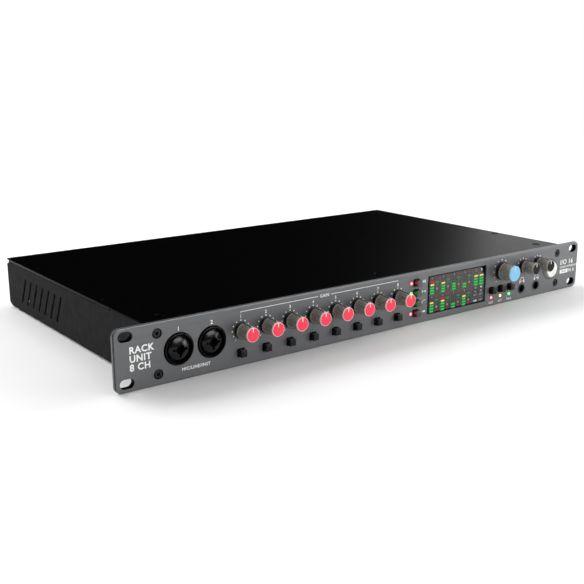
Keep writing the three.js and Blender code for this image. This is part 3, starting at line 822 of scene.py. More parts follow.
def fluted_barrel(base, tip, front, ribs):
    """A cone with fine flutes, which are painted dark as painted shade in the grooves, except close to its
    foot.
    """
    levels = []
    for i in range(BARREL_STEPS + 1):
        share = i / BARREL_STEPS
        radius = base + (tip - base) * share - TIP_ROUNDING * rising(share, 0.97, 1)
        depth = FLUTE_DEPTH * rising(share, 0.1, 0.2) * rising(1 - share, 0, 0.04)
        loop = []
        for k in range(ribs * FLUTE_POINTS):
            t = TURN * k / (ribs * FLUTE_POINTS)
            r = radius - depth * (k % FLUTE_POINTS == 0)
            loop.append(polar(0, 0, r, t))
        levels.append((KNOB_FOOT + (front - KNOB_FOOT) * share, loop, []))
    shape = loft(levels[::-1])
    flutes_from = KNOB_FOOT + 0.14 * (front - KNOB_FOOT)
    # paint the flute faces with the darker grey, as painted shade
    for i, face in enumerate(shape.faces):
        middle = sum((shape.points[k] for k in face), Vector()) / len(face)
        turns = atan2(middle.z, middle.x) / TURN * ribs
        if len(face) == 4 and middle.y < flutes_from and abs(turns - round(turns)) < 0.25:
            shape.paint[i] = 3
    return shape


def knob(node, cap_node, ribs):
    """A barrel with fine flutes, a black skirt, and a pointer line at twelve o'clock."""
    lo, hi = span(node)
    skirt, tip, foot, front = radius_of(node), radius_of(cap_node), KNOB_FOOT, lo.y
    base = skirt - 0.3
    profile = [[0, foot - 0.3], [base + 0.1, foot - 0.3], [skirt, foot + 0.1], [skirt, -0.8], [3, -0.8]]
    profile += [[3, hi.y - 0.5], [2.6, hi.y], [0, hi.y]]
    shape = Shape().join(turned(profile, 72, soften=0.25), paint=1)
    shape.join(fluted_barrel(base, tip, front, ribs))
    # the pointer: a black line the length of the barrel, white where it reaches the cap
    for width, proud, start, paint in ((1.15, 0.2, foot, 1), (0.7, 0.26, front + 1.3, 2)):
        rings = []
        for y in (front, start):
            radius = base + (tip - base) * (y - foot) / (front - foot) + proud
            rings.append((y, round_rect(0, radius - 0.4, width, 0.8, 0.1, 2)(0), []))
        shape.join(loft(rings), paint=paint)
    return shape


def cap(node, rim):
    """A rimmed disc with a coloured face and a white pointer."""
    lo, hi = span(node)
    tip = radius_of(node)
    shape = plate(circle(0, 0, tip, 72), lo.y + 0.1, hi.y + 0.25, (0.18, 0.1))
    shape.join(plate(circle(0, 0, tip - rim, 72), lo.y + 0.05, lo.y + 0.6, (0.06, 0.02), steps=2), paint=1)
    pointer = round_rect(0, tip * 0.66, 0.8, tip * 0.62, 0.2, 3)
    return shape.join(plate(pointer, lo.y, lo.y + 0.5, (0.04, 0.02)), paint=2)


def control(prefix, suffix, barrel, face, face_looks):
    """A knob and its cap, both on the body of their control."""
    knob_node, cap_node, body = (f"{prefix}_{kind}{suffix}" for kind in ("knob", "cap", "control"))
    fitted(knob_node, "barrel", barrel, [GREY, SATIN, WHITE, FLUTE_SHADE], body)
    fitted(cap_node, "face", face, face_looks, body)


small_knob = mesh_of("small_knob", knob("gain_knob_1", "gain_cap_1", 30), 50)
large_knob = mesh_of("large_knob", knob("monitor_knob", "monitor_cap", 40), 50)
red_cap = mesh_of("red_cap", cap("gain_cap_1", 0.36))
dark_cap = mesh_of("dark_cap", cap("phones_cap_a", 0.3))
blue_cap = mesh_of("blue_cap", cap("monitor_cap", 0.3))
for i in CHANNELS:
    control("gain", f"_{i}", small_knob, red_cap, [PALE_RED, RED, WHITE])
for side in "ab":
    control("phones", f"_{side}", small_knob, dark_cap, [GREY, CHARCOAL, WHITE])
control("monitor", "", large_knob, blue_cap, [PALE_BLUE, BLUE, WHITE])


# ---- buttons
def square_button():
    front, back = (corner.y for corner in span("channel_button_1"))
    shape = plate(round_rect(0, 0, 5.1, 5.1, 0.45, 5), front, THICK + 0.5, (0.5, 0.1), steps=5)
    shape.join(plate(round_rect(0, 0, 7.4, 7.4, 0.6, 4), THICK + 0.3, THICK + 1.3, (0.2, 0.2)))
    return shape.join(plate(round_rect(0, 0, 3, 3, 0.3, 3), 4, back, (0.1, 0.2)))


def side_lit_button():
    """A square button whose left side is painted with a glow: painted light that stands in for the light of
    the lamp beside it.
    """
    return square_button().paint_where(lambda point: point.x < -2.4 and point.y < 0, 1)


def power_button():
    front, back = (corner.y for corner in span("power_button"))
    face = [[0, front + 0.2], [5, front + 0.12], [6.7, front], [7.1, front + 0.25], [6.6, front + 1.2]]
    shape = turned(face + [[0, front + 1.2]], 96, soften=0.2)
    cone = [[0, front + 0.9], [6.9, front + 0.9], [7.3, front + 0.5], [8.65, -0.2], [8.7, 3.2], [9.55, 3.3]]
    cone += [[9.55, 4.3], [3, 4.3], [2.2, 5], [2.2, back], [0, back]]
    return shape.join(turned(cone, 96, soften=0.3, steps=4), paint=1)


button = mesh_of("square_button", square_button())
for node in CHANNEL_BUTTONS + MONITOR_BUTTONS:
    fitted(node, "cap", button, [BUTTON], node)
for node, color in zip(FUNCTION_BUTTONS, FUNCTION_COLORS):
    fitted(node, "cap", side_lit_button(), [SIDE_LIT_BUTTON, PAINTED_SIDE_GLOW[color]], node)
fitted("power_button", "lens", power_button(), [MILKY, CONE], "power_button")


# ---- printing
INK_FRONT, INK_BACK = -0.025, 0.1
ICON_LINE = 0.4


class Print(Shape):
    """Thin marks on a face that looks along -y; sink moves a mark's front back."""

    def __init__(self, low=INK_FRONT, high=INK_BACK):
        super().__init__()
        self.low, self.high = low, high

    def area(self, outline, paint=0, sink=0.0):
        return self.join(stamp(outline, self.low + sink, self.high), paint=paint)

    def line(self, points, width, paint=0):
        return self.join(ribbon(points, width, self.low, self.high), paint=paint)

    def word(self, text, x, z, height, weight=0.03, align="CENTER", paint=0, sink=0.0):
        letters = lettering(text, x, z, height, self.low + sink, self.high, weight, align)
        return self.join(letters, paint=paint)


def print_scale(ink, node, reach):
    """The dots and the two end ticks round a knob."""
    x, _, z = place(node)
    for dot_x, dot_z in arc(x, z, reach, -120, 120, 8):
        ink.area(circle(dot_x, dot_z, 0.58, 16))
    for degrees in (-146, 146):
        inner, outer = (arc(x, z, reach + more, degrees, degrees, 1)[0] for more in (0.4, 1.7))
        ink.line([inner, outer], 0.35)


def print_symbols(ink):
    """A number or a symbol beside each function button: 48 volts, two arrows, a rising curve, a plug."""
    x = place("phantom_button")[0] + 8.7
    volts, line, highpass, instrument = (place(node)[2] for node in FUNCTION_BUTTONS)
    ink.word("48", x, volts, 2.4, 0.04)
    for side in (-1, 1):
        arrow = [(x + side * 2.1, line + 1.1), (x + side * 2.1, line - 1.1), (x + side * 0.3, line)]
        ink.area(polygon(arrow[::-side], 0.15))
    low, high = highpass - 1.1, highpass + 1.1
    ink.line([(x - 2.2, low), *arc(x + 0.6, low, 2.2, -78, 0, 8), (x + 2.4, high)], ICON_LINE)
    ink.line([(x - 2.4, instrument), (x - 0.2, instrument)], ICON_LINE)
    ink.area(round_rect(x + 1, instrument, 2.6, 1.6, 0.7, 4))


def print_headphones(ink, node):
    """Headphones over a jack, with the jack's letter between the cups."""
    x, _, z = place(node)
    z += 8.2
    ink.line(arc(x, z - 0.5, 2.7, -92, 92, 20), 0.55)
    for side in (-1, 1):
        ink.area(round_rect(x + side * 2.6, z - 1.6, 1.5, 2.5, 0.55, 3))
    ink.word(node[-1].upper(), x, z - 0.7, 1.7)


def print_names(ink):
    """Plain words in the two clear fields at the panel's ends."""
    left, right = PANEL_LO.x + 11, PANEL_HI.x - 26
    for i, text in enumerate(("RACK", "UNIT", "8 CH")):
        ink.word(text, left, MID_Z + 6.3 - 5.9 * i, 4.5, 0.2, "LEFT")
    ink.word("I/O 16", right, MID_Z + 4.3, 4.6, 0.14, "LEFT")
    ink.word("AUDIO INTERFACE", right, MID_Z - 0.4, 1.9, 0.04, "LEFT")
    low = MID_Z - 4.6
    ink.area(round_rect(right + 6, low, 12, 3.7, 0.3, 2))
    ink.word("24 BIT", right + 6, low, 1.9, 0.06, paint=1, sink=-0.02)
    ink.word("96 K", right + 12.8, low, 3.2, 0.05, "LEFT")


def legend():
    """The white print of the front panel."""
    ink = Print()
    for i, node in enumerate(GAIN_KNOBS, 1):
        x, _, z = place(node)
        print_scale(ink, node, 7.2)
        ink.word(str(i), x, z + 10, 2.3, 0.06)
    for node, reach in ((PHONES_KNOBS[0], 7.2), (PHONES_KNOBS[1], 7.2), ("monitor_knob", 9.9)):
        print_scale(ink, node, reach)
    for i, (x, _, z) in enumerate(COMBO_PLACES, 1):
        ink.word(str(i), x, z + 14.1, 2.8, 0.1)
    x = (COMBO_PLACES[0][0] + COMBO_PLACES[1][0]) / 2
    ink.word("MIC/LINE/INST", x, COMBO_PLACES[0][2] - 14.9, 2.25, 0.07)
    # the bracket over the gain knobs
    first, last = place(GAIN_KNOBS[0])[0], place(GAIN_KNOBS[-1])[0]
    middle, level = (first + last) / 2, HEIGHT - 4.1
    for side, end in ((-1, first), (1, last)):
        ink.line([(middle + side * 6.3, level), (end, level), (end, level - 1)], ICON_LINE)
    ink.word("GAIN", middle, level, 2.4, 0.04)
    for node, word in zip(MONITOR_BUTTONS, ("CUT", "ALT", "TALK")):
        ink.word(word, place(node)[0], 3.2, 1.9, 0.04)
    print_symbols(ink)
    for node in PHONES_JACKS:
        print_headphones(ink, node)
    print_names(ink)
    return ink


piece("front_panel_print", legend(), [INK, PANEL_FINISH], smooth=20)


# ---- lamps
LENS_RADIUS, HALO_WIDTH = 1.0, 1.2


def lens():
    profile = [[0, -0.8], [0.4, -0.72], [0.7, -0.5], [0.9, -0.1], [0.95, 0.2], [0.95, 3.5], [0, 3.5]]
    return turned(profile, 40, soften=0.2)


def halo_ring(number):
    """A ring of painted light on the panel round a lens: the lamp's light falling on the panel."""
    inner, outer = (LENS_RADIUS + HALO_WIDTH * (number + k) / HALO_STEPS for k in (0, 1))
    return stack([(-0.02, outer), (-0.005, outer)], 40, circle(0, 0, inner, 40)(0))


def lamps(name, spots, colors, rail):
    """Lenses with their rings of painted light, each ring dimmer than the one inside it, and the bar behind
    them.
    """
    looks, shape = [MILKY], Shape()
    for at, color in zip(spots, colors):
        rings = [(halo_ring(i), look) for i, look in enumerate(HALO[color])]
        for part, look in [(lens(), LAMP[color]), *rings]:
            if look not in looks:
                looks.append(look)
            shape.join(part, at=at, paint=looks.index(look))
    shape.join(plate(front_of(*span(rail), 0.6, 3), THICK + 0.3, THICK + 2, (0.2, 0.2)), paint=0)
    piece(name, shape, looks, replaces=[rail])


lamps("function_lamps", FUNCTION_LEDS, FUNCTION_COLORS, "function_light_pipe")
lamps("monitor_lamps", MONITOR_LEDS, MONITOR_COLORS, "monitor_light_pipe")


# ---- meter window
METER_PAINTS = list(METER_LOOKS)
HAIRLINE = 0.22
# each lit bar: how many of its segments glow, counted from the bottom
LIT = ((5, 4, 3, 2), (4, 5, 2, 4))
SEGMENT_HEIGHTS = ((32.5, 29.8, 27.1, 25.0, 22.8), (16.7, 14.4, 12.0, 9.6, 7.2))
SIDE_HEIGHTS = ((35.0, 31.8, 29.0, 26.0, 23.3), (19.6, 16.3, 13.4, 10.5, 7.7))
BAR_COLORS = ("red", "yellow", "green", "green", "green")
OUTPUT_HEIGHTS = (29.9, 27.2, 24.8, 22.4)
CLOCK_WORDS = ((("48", "grey"), ("96", "white")), (("44", "grey"), ("88", "grey")),
               (("INT", "grey"), ("EXT", "grey")), (("USB", "white"), ("OPT", "grey")))


def window_slab():
    """The glossy black slab, and on its face the smoked field with one slanted corner, where the black slab
    shows through as a wedge of painted shade.
    """
    outline = front_of(WINDOW_LO, WINDOW_HI, 0.6, 4)
    shape = Shape().join(plate(outline, WINDOW_LO.y, WINDOW_HI.y, (0.15, 0.1)), paint=1)
    left, right = WINDOW_LO.x + 2.2, WINDOW_HI.x - 1.0
    low, high = WINDOW_LO.z + 0.8, WINDOW_HI.z - 0.6
    # the slanted top right corner leaves a black wedge of the slab: painted shade
    corners = [(left, low), (right, low), (right, high - 7), (right - 3.6, high), (left, high)]
    return shape.join(stamp(polygon(corners, 0.3), WINDOW_LO.y - 0.02, WINDOW_LO.y + 0.2))


class MeterPrint(Print):
    """The meter's marks, each in a named colour."""

    def block(self, x, z, width, height, color, radius=0.15, sink=0.0):
        self.area(round_rect(x, z, width, height, radius, 2), METER_PAINTS.index(color), sink)

    def segment(self, x, z, width, color):
        """A lit segment on the dimmer glow that surrounds it."""
        self.block(x, z, width + 0.7, 2.5, f"under_{color}", 0.3, 0.02)
        self.block(x, z, width, 1.0, color)

    def label(self, text, x, z, height, color):
        self.word(text, x, z, height, paint=METER_PAINTS.index(color))


def input_meter(ink, row, column, x):
    """One channel: a bar of five segments, five small signs to its right, and its number."""
    for level, z in enumerate(SEGMENT_HEIGHTS[row]):
        if 5 - level <= LIT[row][column]:
            ink.segment(x, z, 3.9, BAR_COLORS[level])
        else:
            ink.block(x, z, 3.7, 1.3, "off")
    side = x + 5.7
    volts, line, curve, plug, mute = SIDE_HEIGHTS[row]
    ink.block(side, volts, 4.4, 1.8, "dim_red", 0.7)
    ink.block(side, line, 4.0, 1.7, "dim_green", 0.7)
    low, high = curve - 0.7, curve + 0.7
    bend = arc(side + 0.4, low, 1.4, -80, 0, 6)
    ink.line([(side - 1.7, low), *bend, (side + 1.7, high)], 0.45, METER_PAINTS.index("dim_green"))
    ink.area(circle(side, plug, 1.0, 24), METER_PAINTS.index("dim_yellow"))
    ink.block(side, mute, 3.5, 1.6, "dim_red", 0.7)
    ink.label(str(row * 4 + column + 1), x, (35.2, 19.4)[row], 1.6, "grey")


def meter_display():
    """Everything that the window shows, as thin prints on its face."""
    ink = MeterPrint(WINDOW_LO.y - 0.05, WINDOW_LO.y + 0.1)
    left, right = WINDOW_LO.x + 5.6, WINDOW_HI.x
    for row in (0, 1):
        for column in range(4):
            input_meter(ink, row, column, left + 13 * column)
    for x in (9.6, 22.6, 35.6, 48.8):
        ink.block(left + x, 21.7, HAIRLINE, 29.5, "line", 0.1)
    ink.block(WINDOW_LO.x + 27.6, 21.4, 52, HAIRLINE, "line", 0.1)
    for x, name, color in ((right - 11.6, "L", "grey"), (right - 4.8, "R", "white")):
        for level, z in enumerate(OUTPUT_HEIGHTS, 1):
            ink.segment(x, z, 4.4, BAR_COLORS[level])
        ink.label(name, x, 34.9, 1.9, color)
    for z, pair in zip((19.5, 16.1, 13.0, 8.0), CLOCK_WORDS):
        for x, (text, color) in zip((right - 11.8, right - 4.6), pair):
            ink.label(text, x, z, 1.6, color)
    ink.block(right - 8.8, 10.6, 13, HAIRLINE, "line", 0.1)
    return ink


piece("meter_window_glass", window_slab(), [WINDOW, GLOSS], replaces=["meter_window"])
piece("meter_display", meter_display(), list(METER_LOOKS.values()), smooth=20)


# ---- case
SHEET, COVER_SHEET, BEND = 1.2, 1.1, 1.6
LIP_FRONT, LIP_BACK = 55.4, 249.5
TAB_SCREW_X, TAB_SCREW_Z = 209.55, (MID_Z - 14.1, MID_Z + 14.1)
SIDE_SCREW_X, SIDE_SCREWS_Y = 209.5, (75, 196)
FRONT_SCREWS_X, FRONT_SCREWS_Y = (-198, 0, 198), 16
SIDE_SCREWS = [(side * SIDE_SCREW_X, y) for side in (-1, 1) for y in SIDE_SCREWS_Y]
FRONT_SCREWS = [(x, FRONT_SCREWS_Y) for x in FRONT_SCREWS_X]
VENTS, VENT_PITCH, VENT_TILT = 7, 12.2, radians(28)


def side_sheet(outline, side, thickness, gap, edges, holes=(), steps=3):
    """An upright sheet at the left or right end; edges are its inner and its outer rounding."""
    inner, outer = sorted((side * (HALF - thickness), side * (HALF - gap)))
    return plate(outline, inner, outer, edges[::side], holes, "x", steps)


def cover():
    """The top sheet with its countersinks, and a lip folded down at each side."""
    sheet = round_rect(0, (COVER_LO.y + COVER_HI.y) / 2, 2 * HALF, COVER_HI.y - COVER_LO.y, 0.6, 4)
    holes = circles(SIDE_SCREWS + FRONT_SCREWS, 3.1, 40)
    shape = plate(sheet, COVER_HI.z - COVER_SHEET, COVER_HI.z, (0.05, 0.7), holes, "z", 4)
    low, high = COVER_LO.z, COVER_HI.z - 0.9
    lip = round_rect((LIP_FRONT + LIP_BACK) / 2, (low + high) / 2, LIP_BACK - LIP_FRONT, high - low, 0.5, 4)
    for side in (-1, 1):
        shape.join(side_sheet(lip, side, COVER_SHEET, 0.02, (0.05, 0.2)))
    return shape


def vent(number):
    return round_rect(218.75 - VENT_PITCH * number, 20.8, 2.7, 25.8, 1.3, 6, VENT_TILT)


def tray():
    """Floor, side walls with slanted vents, and the tabs and flanges that the other sheets screw to."""
    low, high, front, back = CASE_LO.z, CASE_HI.z, CASE_LO.y, REAR
    floor = round_rect(0, (front + back - 4.5) / 2, 2 * (HALF - BEND), back - 4.5 - front, 0.4, 3)
    shape = plate(floor, low, low + SHEET, (0.05, 0.1), axis="z")
    wall = [(front, low + BEND), (back - 3.4, low + BEND), (back, low + 3.4), (back, high - 3.6)]
    wall += [(back - 4.4, high - 1.6), (54.5, high - 1.6), (54.5, high), (front, high)]
    vents = [vent(i) for i in range(VENTS)]
    for side in (-1, 1):
        shape.join(side_sheet(polygon(wall, 0.5, 3), side, SHEET, 0, (0.05, 0.25), vents, 4))
        shape.join(tray_bend(side, front + 0.3, back - 4.6))
        for z0, z1, screw_z in zip((low + 2, 31), (13, high - 0.3), TAB_SCREW_Z):
            tab = round_rect(side * (HALF - 6), (z0 + z1) / 2, 10, z1 - z0, 0.6, 3)
            screw_hole = circle(side * TAB_SCREW_X, screw_z, 2.5, 24)
            shape.join(plate(tab, front, front + SHEET, (0.15, 0.15), [screw_hole]))
        flange = round_rect(side * (HALF - 5.3), 144, 9.6, 208, 0.6, 3)
        screws = circles([(side * SIDE_SCREW_X, y) for y in SIDE_SCREWS_Y], 1.6, 20)
        shape.join(plate(flange, high - 1.6 - SHEET, high - 1.65, (0.1, 0.1), screws, "z"))
    rail = round_rect(0, FRONT_SCREWS_Y, 2 * HALF - 3, 14, 0.4, 3)
    screws = circles(FRONT_SCREWS, 1.6, 20)
    return shape.join(plate(rail, high - SHEET, high - 0.02, (0.1, 0.1), screws, "z"))


def tray_bend(side, front, back):
    """The bend between the floor and a side wall."""
    x, z = side * (HALF - BEND), CASE_LO.z + BEND
    turns = [pi * 1.5 + side * pi / 2 * i / 8 for i in range(9)]
    first, last = (BEND, BEND - SHEET)[::side]
    loop = [polar(x, z, first, t) for t in turns] + [polar(x, z, last, t) for t in turns[::-1]]
    return stamp(lambda grow: loop, front, back)


piece("case_cover", cover(), [COAT], replaces=["top_cover"])
piece("case_tray", tray(), [TRAY_COAT_PAINTED_LIGHT], replaces=["chassis_tray"])


# ---- rear panel
INSIDE = REAR - 1.5
INLET, CLOCK, USB = (-180, MID_Z), (-153, 21), (-96, 10)
DINS = [(-136, 21), (-114, 21)]
OPTICALS = [(x, z) for x in (-80, -65) for z in (13, 30)]
COAXES = [(-53, z) for z in (13, 30)]
LINE_JACKS = [(-24 + 16 * k, z) for k in range(4) for z in (13.4, 31)]
MIC_SOCKETS = [(56 + 27 * k, 22) for k in range(6)]
CAPTION_HIGH, CAPTION_LOW = 38.6, 6.4
BOARD_THICK = 1.6


def rear_plate():
    lo, hi = span("rear_panel")
    holes = circles(MIC_SOCKETS, 11.45, 64) + circles(LINE_JACKS, 4.5, 32) + circles(DINS, 8.4, 48)
    holes += circles(COAXES, 5, 32)
    holes += [round_rect(x, z, 11.5, 11.5, 0.4, 3) for x, z in OPTICALS]
    holes += [circle(*CLOCK, 6.5, 40), round_rect(*USB, 9.9, 4.2, 1.6, 5)]
    holes.append(round_rect(*INLET, 28.5, 20.5, 1, 4))
    outline = round_rect(0, (lo.z + hi.z) / 2, hi.x - lo.x, hi.z - lo.z, 0.6, 4)
    return plate(outline, lo.y, hi.y, (0.1, 0.25), holes)


def line_jack():
    """A round jack's threaded nose with a six-sided nut, and its dark bore."""
    radius, bore, low, high = 6.2, 3.3, -1.6, -0.02
    shape = stack([(low, radius - 0.5), (low + 0.4, radius), (high, radius)], 6, circle(0, 0, bore, 6)(0))
    nose = [[bore, 0.2], [bore, low - 0.5], [bore + 0.75, low - 0.5], [bore + 0.9, low - 0.2]]
    shape.join(turned(nose + [[bore + 0.9, 0.2], [bore, 0.2]], 40, soften=0.1))
    return shape.join(tube(bore, bore + 0.5, 0.1, 21, 32), paint=1)


def din_socket():
    shape = turned([[7, 8], [7, -0.4], [8.2, -0.4], [8.2, 1.4], [8, 8], [7, 8]], 64, soften=0.15)
    pins = [polar(0, 0, 4.6, pi / 4 * k) for k in range(5)]
    shape.join(plate(circle(0, 0, 6.9, 48), 2, 7.9, (0.2, 0.1), circles(pins, 0.8, 16)), paint=1)
    return shape.join(disc(7.1, 7.8, 9, 32), paint=1)


def optical_socket():
    shape = plate(round_rect(0, 0, 11, 11, 0.5, 4), -0.8, 3, (0.3, 0.2), [round_rect(0, 0, 8, 8, 0.6, 4)])
    shutter = plate(round_rect(0, 0, 8.4, 8.4, 0.5, 3), 0.6, 2.5, (0.3, 0.1), [circle(0, 0, 1.1, 24)])
    return shape.join(shutter)


def coax_socket():
    profile = [[1.7, 3], [1.7, -7.4], [3.5, -7.5], [3.9, -7.1], [3.9, -1.5], [4.6, -1.4], [4.6, 3], [1.7, 3]]
    insulator = turned([[0.8, 3], [0.8, -3], [1.75, -6.9], [1.75, 3], [0.8, 3]], 32, soften=0.1)
    return turned(profile, soften=0.15).join(insulator, paint=1)


def clock_socket():
    profile = [[3.7, 3], [3.7, -8.8], [4.2, -9], [4.8, -8.6], [4.8, -2], [6.2, -1.9], [6.2, 3], [3.7, 3]]
    shape = turned(profile, 64, soften=0.15)
    lug = turned([[0, -0.9], [0.8, -0.9], [0.9, -0.7], [0.9, 0.9], [0, 0.9]], 20)
    for side in (-1, 1):
        shape.join(lug, at=(side * 5, -6.4, 0), turn=Matrix.Rotation(pi / 2, 4, "Z"))
    shape.join(turned([[0.5, -7], [1.6, -7.4], [1.8, -6.5], [1.8, 3], [0.5, 3], [0.5, -7]], 32), paint=1)
    return shape.join(disc(3.8, -1, 2, 32), paint=1)


def usb_socket():
    rim, opening = round_rect(0, 0, 9.1, 3.3, 1.6, 6), round_rect(0, 0, 8.4, 2.6, 1.25, 6)
    shape = plate(rim, -0.3, 6, (0.1, 0.1), [opening])
    shape.join(plate(round_rect(0, 0, 6.7, 0.7, 0.3, 3), 0.7, 6, (0.1, 0.1)), paint=1)
    return shape.join(plate(round_rect(0, 0, 8.8, 3, 1.4, 4), 5, 6.5, (0.1, 0.1)), paint=1)


def mains_socket():
    """An inlet with chamfered lower corners and three flat pins, facing -y."""
    corners = [(-12.2, -5), (-9.2, -8), (9.2, -8), (12.2, -5), (12.2, 8), (-12.2, 8)]
    recess = polygon(corners, 0.6)
    shape = plate(round_rect(0, 0, 40, 23, 3, 6), -1.75, -0.3, (0.5, 0.1), [recess])
    shape.join(plate(round_rect(0, 0, 28, 20, 0.8, 4), -0.35, 16.5, (0.05, 0.4), [recess]))
    shape.join(plate(round_rect(0, 0, 27, 19, 0.8, 3), 14.5, 16, (0.1, 0.1)))
    for x, z in ((-7, 1.8), (7, 1.8), (0, -2.4)):
        shape.join(plate(round_rect(x, z, 2, 4, 0.3, 3), 3.6, 15, (0.5, 0.1)), paint=1)
    return shape


def pan_screw():
    """A small domed screw with a cross recess, facing -y."""
    cross = []
    for quarter in range(4):
        c, s = cos(pi / 2 * quarter), sin(pi / 2 * quarter)
        for along, across in ((1.2, -0.25), (1.2, 0.25), (0.35, 0.35)):
            cross.append((along * c - across * s, along * s + across * c))
    shape = stack([(-0.75, 1.6), (-0.7, 1.9), (-0.45, 2.4), (-0.02, 2.6)], 48, cross)
    return shape.join(disc(1.3, -0.1, 3, 24))


def rear_legend():
    """The white print of the rear panel, drawn facing -y about the panel's middle and turned round."""
    ink = Print()
    words = [("MAINS", INLET[0], 6.2), ("CLOCK", CLOCK[0], 11.5), ("MIDI IN", DINS[0][0], 8.8)]
    words += [("MIDI OUT", DINS[1][0], 8.8), ("USB", USB[0], 15), ("COAX", COAXES[0][0], CAPTION_HIGH)]
    words += [("OPTICAL", -72.5, CAPTION_HIGH), ("LINE OUT", 0, CAPTION_HIGH)]
    words += [(f"MIC / LINE {k}", x, CAPTION_LOW) for k, (x, _) in enumerate(MIC_SOCKETS, 3)]
    words += [(str(k), x + 8, z) for k, (x, z) in enumerate(LINE_JACKS, 1)]
    for word, x, z in words:
        ink.word(word, -x, z, 1.9)
    return ink


def behind(name, shape, looks, places, replaces=()):
    """Copies of a connector on the rear panel, facing backwards; the first stands for the CAD node."""
    mesh = mesh_of(name, shape) if isinstance(shape, Shape) else shape
    for i, (x, z) in enumerate(places, 1):
        stands_for = replaces if i == 1 else ()
        made = piece(f"{name}_{i}", mesh, looks, at=(x, REAR, z), replaces=stands_for)
        made.rotation_euler = (0, 0, pi)


piece("rear_panel_plate", rear_plate(), [COAT], replaces=["rear_panel"])
behind("rear_print", rear_legend(), [INK], [(0, 0)])
behind("mic_socket", combo_front, COMBO_LOOKS, MIC_SOCKETS)
behind("line_jack", line_jack(), [SATIN, DARK], LINE_JACKS)
behind("midi_socket", din_socket(), [NICKEL, SATIN], DINS)
behind("optical_socket", optical_socket(), [SATIN], OPTICALS)
behind("coax_socket", coax_socket(), [BRASS, WHITE], COAXES)
behind("clock_socket", clock_socket(), [NICKEL, WHITE], [CLOCK])
behind("usb_socket", usb_socket(), [NICKEL, SATIN], [USB])
behind("mains_socket", mains_socket(), [SATIN, NICKEL], [INLET], replaces=["mains_inlet"])
corners = [(side * 210, z) for side in (-1, 1) for z in (8, 36)]
diagonals = [(x + 9.3 * side, z + 12.6 * side) for x, z in MIC_SOCKETS for side in (-1, 1)]
behind("rear_screw", pan_screw(), [SCREW], corners + diagonals)


# ---- boards
def rounded_box(x0, x1, y0, y1, z0, z1, edge):
    outline = round_rect((x0 + x1) / 2, (y0 + y1) / 2, x1 - x0, y1 - y0, edge, 3)
    return plate(outline, z0, z1, (edge, edge), axis="z")


def io_board(node, front, housings):
    """A board under the rear sockets; each housing is its middle, half width, depth, top and edge."""
    lo, hi = span(node)
    shape = rounded_box(lo.x, hi.x, front, INSIDE - 1, lo.z, lo.z + BOARD_THICK, 0.15)
    for x, half, depth, top, edge in housings:
        box = rounded_box(x - half, x + half, INSIDE - depth, INSIDE, lo.z + BOARD_THICK - 0.05, top, edge)
        shape.join(box, paint=1)
    return shape


analogue = [(x, 6.3, 22, 38, 0.5) for x, _ in LINE_JACKS[::2]]
analogue += [(x, 12.4, 28, 37, 0.6) for x, _ in MIC_SOCKETS]
digital = [(x, 9.5, 12, 31, 0.4) for x, _ in DINS] + [(x, 7, 12, 37, 0.4) for x, _ in OPTICALS[::2]]
digital += [(COAXES[0][0], 5.5, 12, 36, 0.4), (USB[0], 4.7, 8, 11.7, 0.4), (CLOCK[0] - 1, 4.8, 8, 28, 0.4)]
for name, front, housings in (("analogue", 210, analogue), ("digital", 240, digital)):
    board = io_board(f"{name}_io_board", front, housings)
    piece(f"{name}_board", board, [BOARD, SATIN], replaces=[f"{name}_io_board"])
for node in ("meter_board", "control_board", "main_board", "power_supply"):
    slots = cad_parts[node].data.materials
    slots.clear()
    slots.append((STEEL if node == "power_supply" else BOARD).material)


# ---- cover screws
# the rear panel's screw laid flat in the cover's countersinks, facing up
flat_screw = mesh_of("cover_screw", Shape().join(pan_screw(), turn=Matrix.Rotation(-pi / 2, 4, "X")))
for i, (x, y) in enumerate(SIDE_SCREWS + FRONT_SCREWS, 1):
    piece(f"cover_screw_{i}", flat_screw, [COAT], at=(x, y, COVER_HI.z - 1.0))


# ---- floor, light and camera
FLOOR_RADIUS = 1.9
AMBIENT = 0.3
CAMERA_PLACE = (-474.55, -496.14, 207.47)
CAMERA_PITCH, CAMERA_TURN = 75.522, -37.1155
FOCAL_LENGTH, SENSOR_WIDTH = 54.85, 36


def stage_floor():
    shape = loft([(z, circle(0, 0, FLOOR_RADIUS / MM, 96)(0), []) for z in (-20, -0.05)], "z")
    floor = bpy.data.objects.new("floor", mesh_of("floor", shape))
    floor.data.materials.append(pale_floor().material)
    bpy.context.scene.collection.objects.link(floor)


def soft_box(name, azimuth, elevation, distance, width, height, radiance, mirrored=True, lights=True):
    """A rectangular light that faces the unit. Azimuth is in degrees from +y towards +x."""
    light = bpy.data.lights.new(name, "AREA")
    light.shape = "RECTANGLE"
    light.size, light.size_y = width, height
    light.energy = radiance * width * height * pi
    box = bpy.data.objects.new(name, light)
    a, e = radians(azimuth), radians(elevation)
    way = Vector((sin(a) * cos(e), cos(a) * cos(e), sin(e)))
    box.location = way * distance
    box.rotation_euler = (-way).to_track_quat("-Z", "Y").to_euler()
    box.visible_glossy = mirrored
    box.visible_diffuse = lights
    bpy.context.scene.collection.objects.link(box)


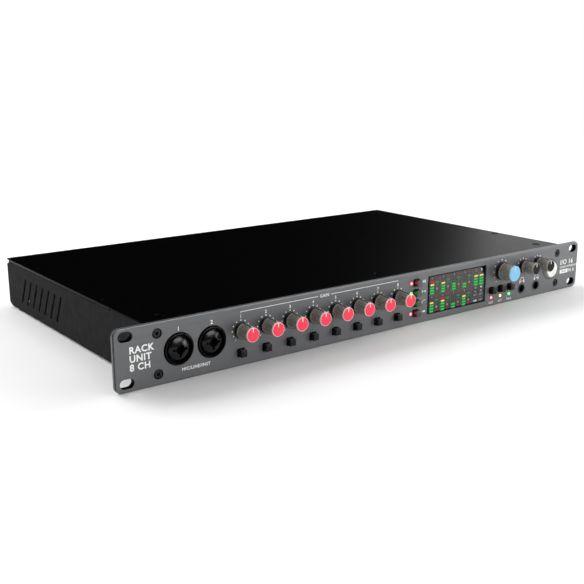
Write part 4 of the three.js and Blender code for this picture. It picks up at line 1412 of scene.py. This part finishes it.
def studio_world():
    """White where the camera sees it, a soft grey for light that bounces, dark in reflections."""
    world = bpy.data.worlds.new("studio")
    world.use_nodes = True
    tree = world.node_tree
    tree.nodes.clear()

    def background(strength):
        made = tree.nodes.new("ShaderNodeBackground")
        made.inputs["Color"].default_value = (1, 1, 1, 1)
        made.inputs["Strength"].default_value = strength
        return made.outputs["Background"]

    path = tree.nodes.new("ShaderNodeLightPath")
    shown = background(0.0)
    for ray, strength in (("Is Diffuse Ray", AMBIENT), ("Is Camera Ray", 1.0)):
        mix = tree.nodes.new("ShaderNodeMixShader")
        for number, source in enumerate((path.outputs[ray], shown, background(strength))):
            tree.links.new(source, mix.inputs[number])
        shown = mix.outputs["Shader"]
    out = tree.nodes.new("ShaderNodeOutputWorld")
    tree.links.new(shown, out.inputs["Surface"])
    bpy.context.scene.world = world


def studio_camera():
    data = bpy.data.cameras.new("camera")
    data.lens, data.sensor_width = FOCAL_LENGTH, SENSOR_WIDTH
    data.clip_start, data.clip_end = 0.01, 100
    camera = bpy.data.objects.new("camera", data)
    x, y, z = CAMERA_PLACE
    camera.location = (x * MM, (y + FRONT) * MM, z * MM)
    camera.rotation_euler = (radians(CAMERA_PITCH), 0, radians(CAMERA_TURN))
    bpy.context.scene.collection.objects.link(camera)
    bpy.context.scene.camera = camera


stage_floor()
studio_world()
studio_camera()
# azimuth and elevation in degrees, distance, width and height in metres, radiance
soft_box("back_left", -35, 28, 2.2, 1.8, 0.8, 8.6, mirrored=False)
soft_box("back", -6, 45, 2.2, 1.8, 0.8, 4.9, mirrored=False)
soft_box("right", 92, 26, 2.2, 1.2, 0.8, 5.8, mirrored=False)
soft_box("front", 165, 40, 2.2, 1.8, 0.9, 1.7, mirrored=False)
soft_box("haze", 162, 43, 2.2, 2.0, 1.4, 6.4, lights=False)
soft_box("key_right", 79.5, 24, 2.6, 2.7, 2.0, 1.2)
soft_box("front_right", 127, 8, 2.2, 0.9, 0.8, 7.0)
bpy.context.scene.view_settings.view_transform = "Standard"
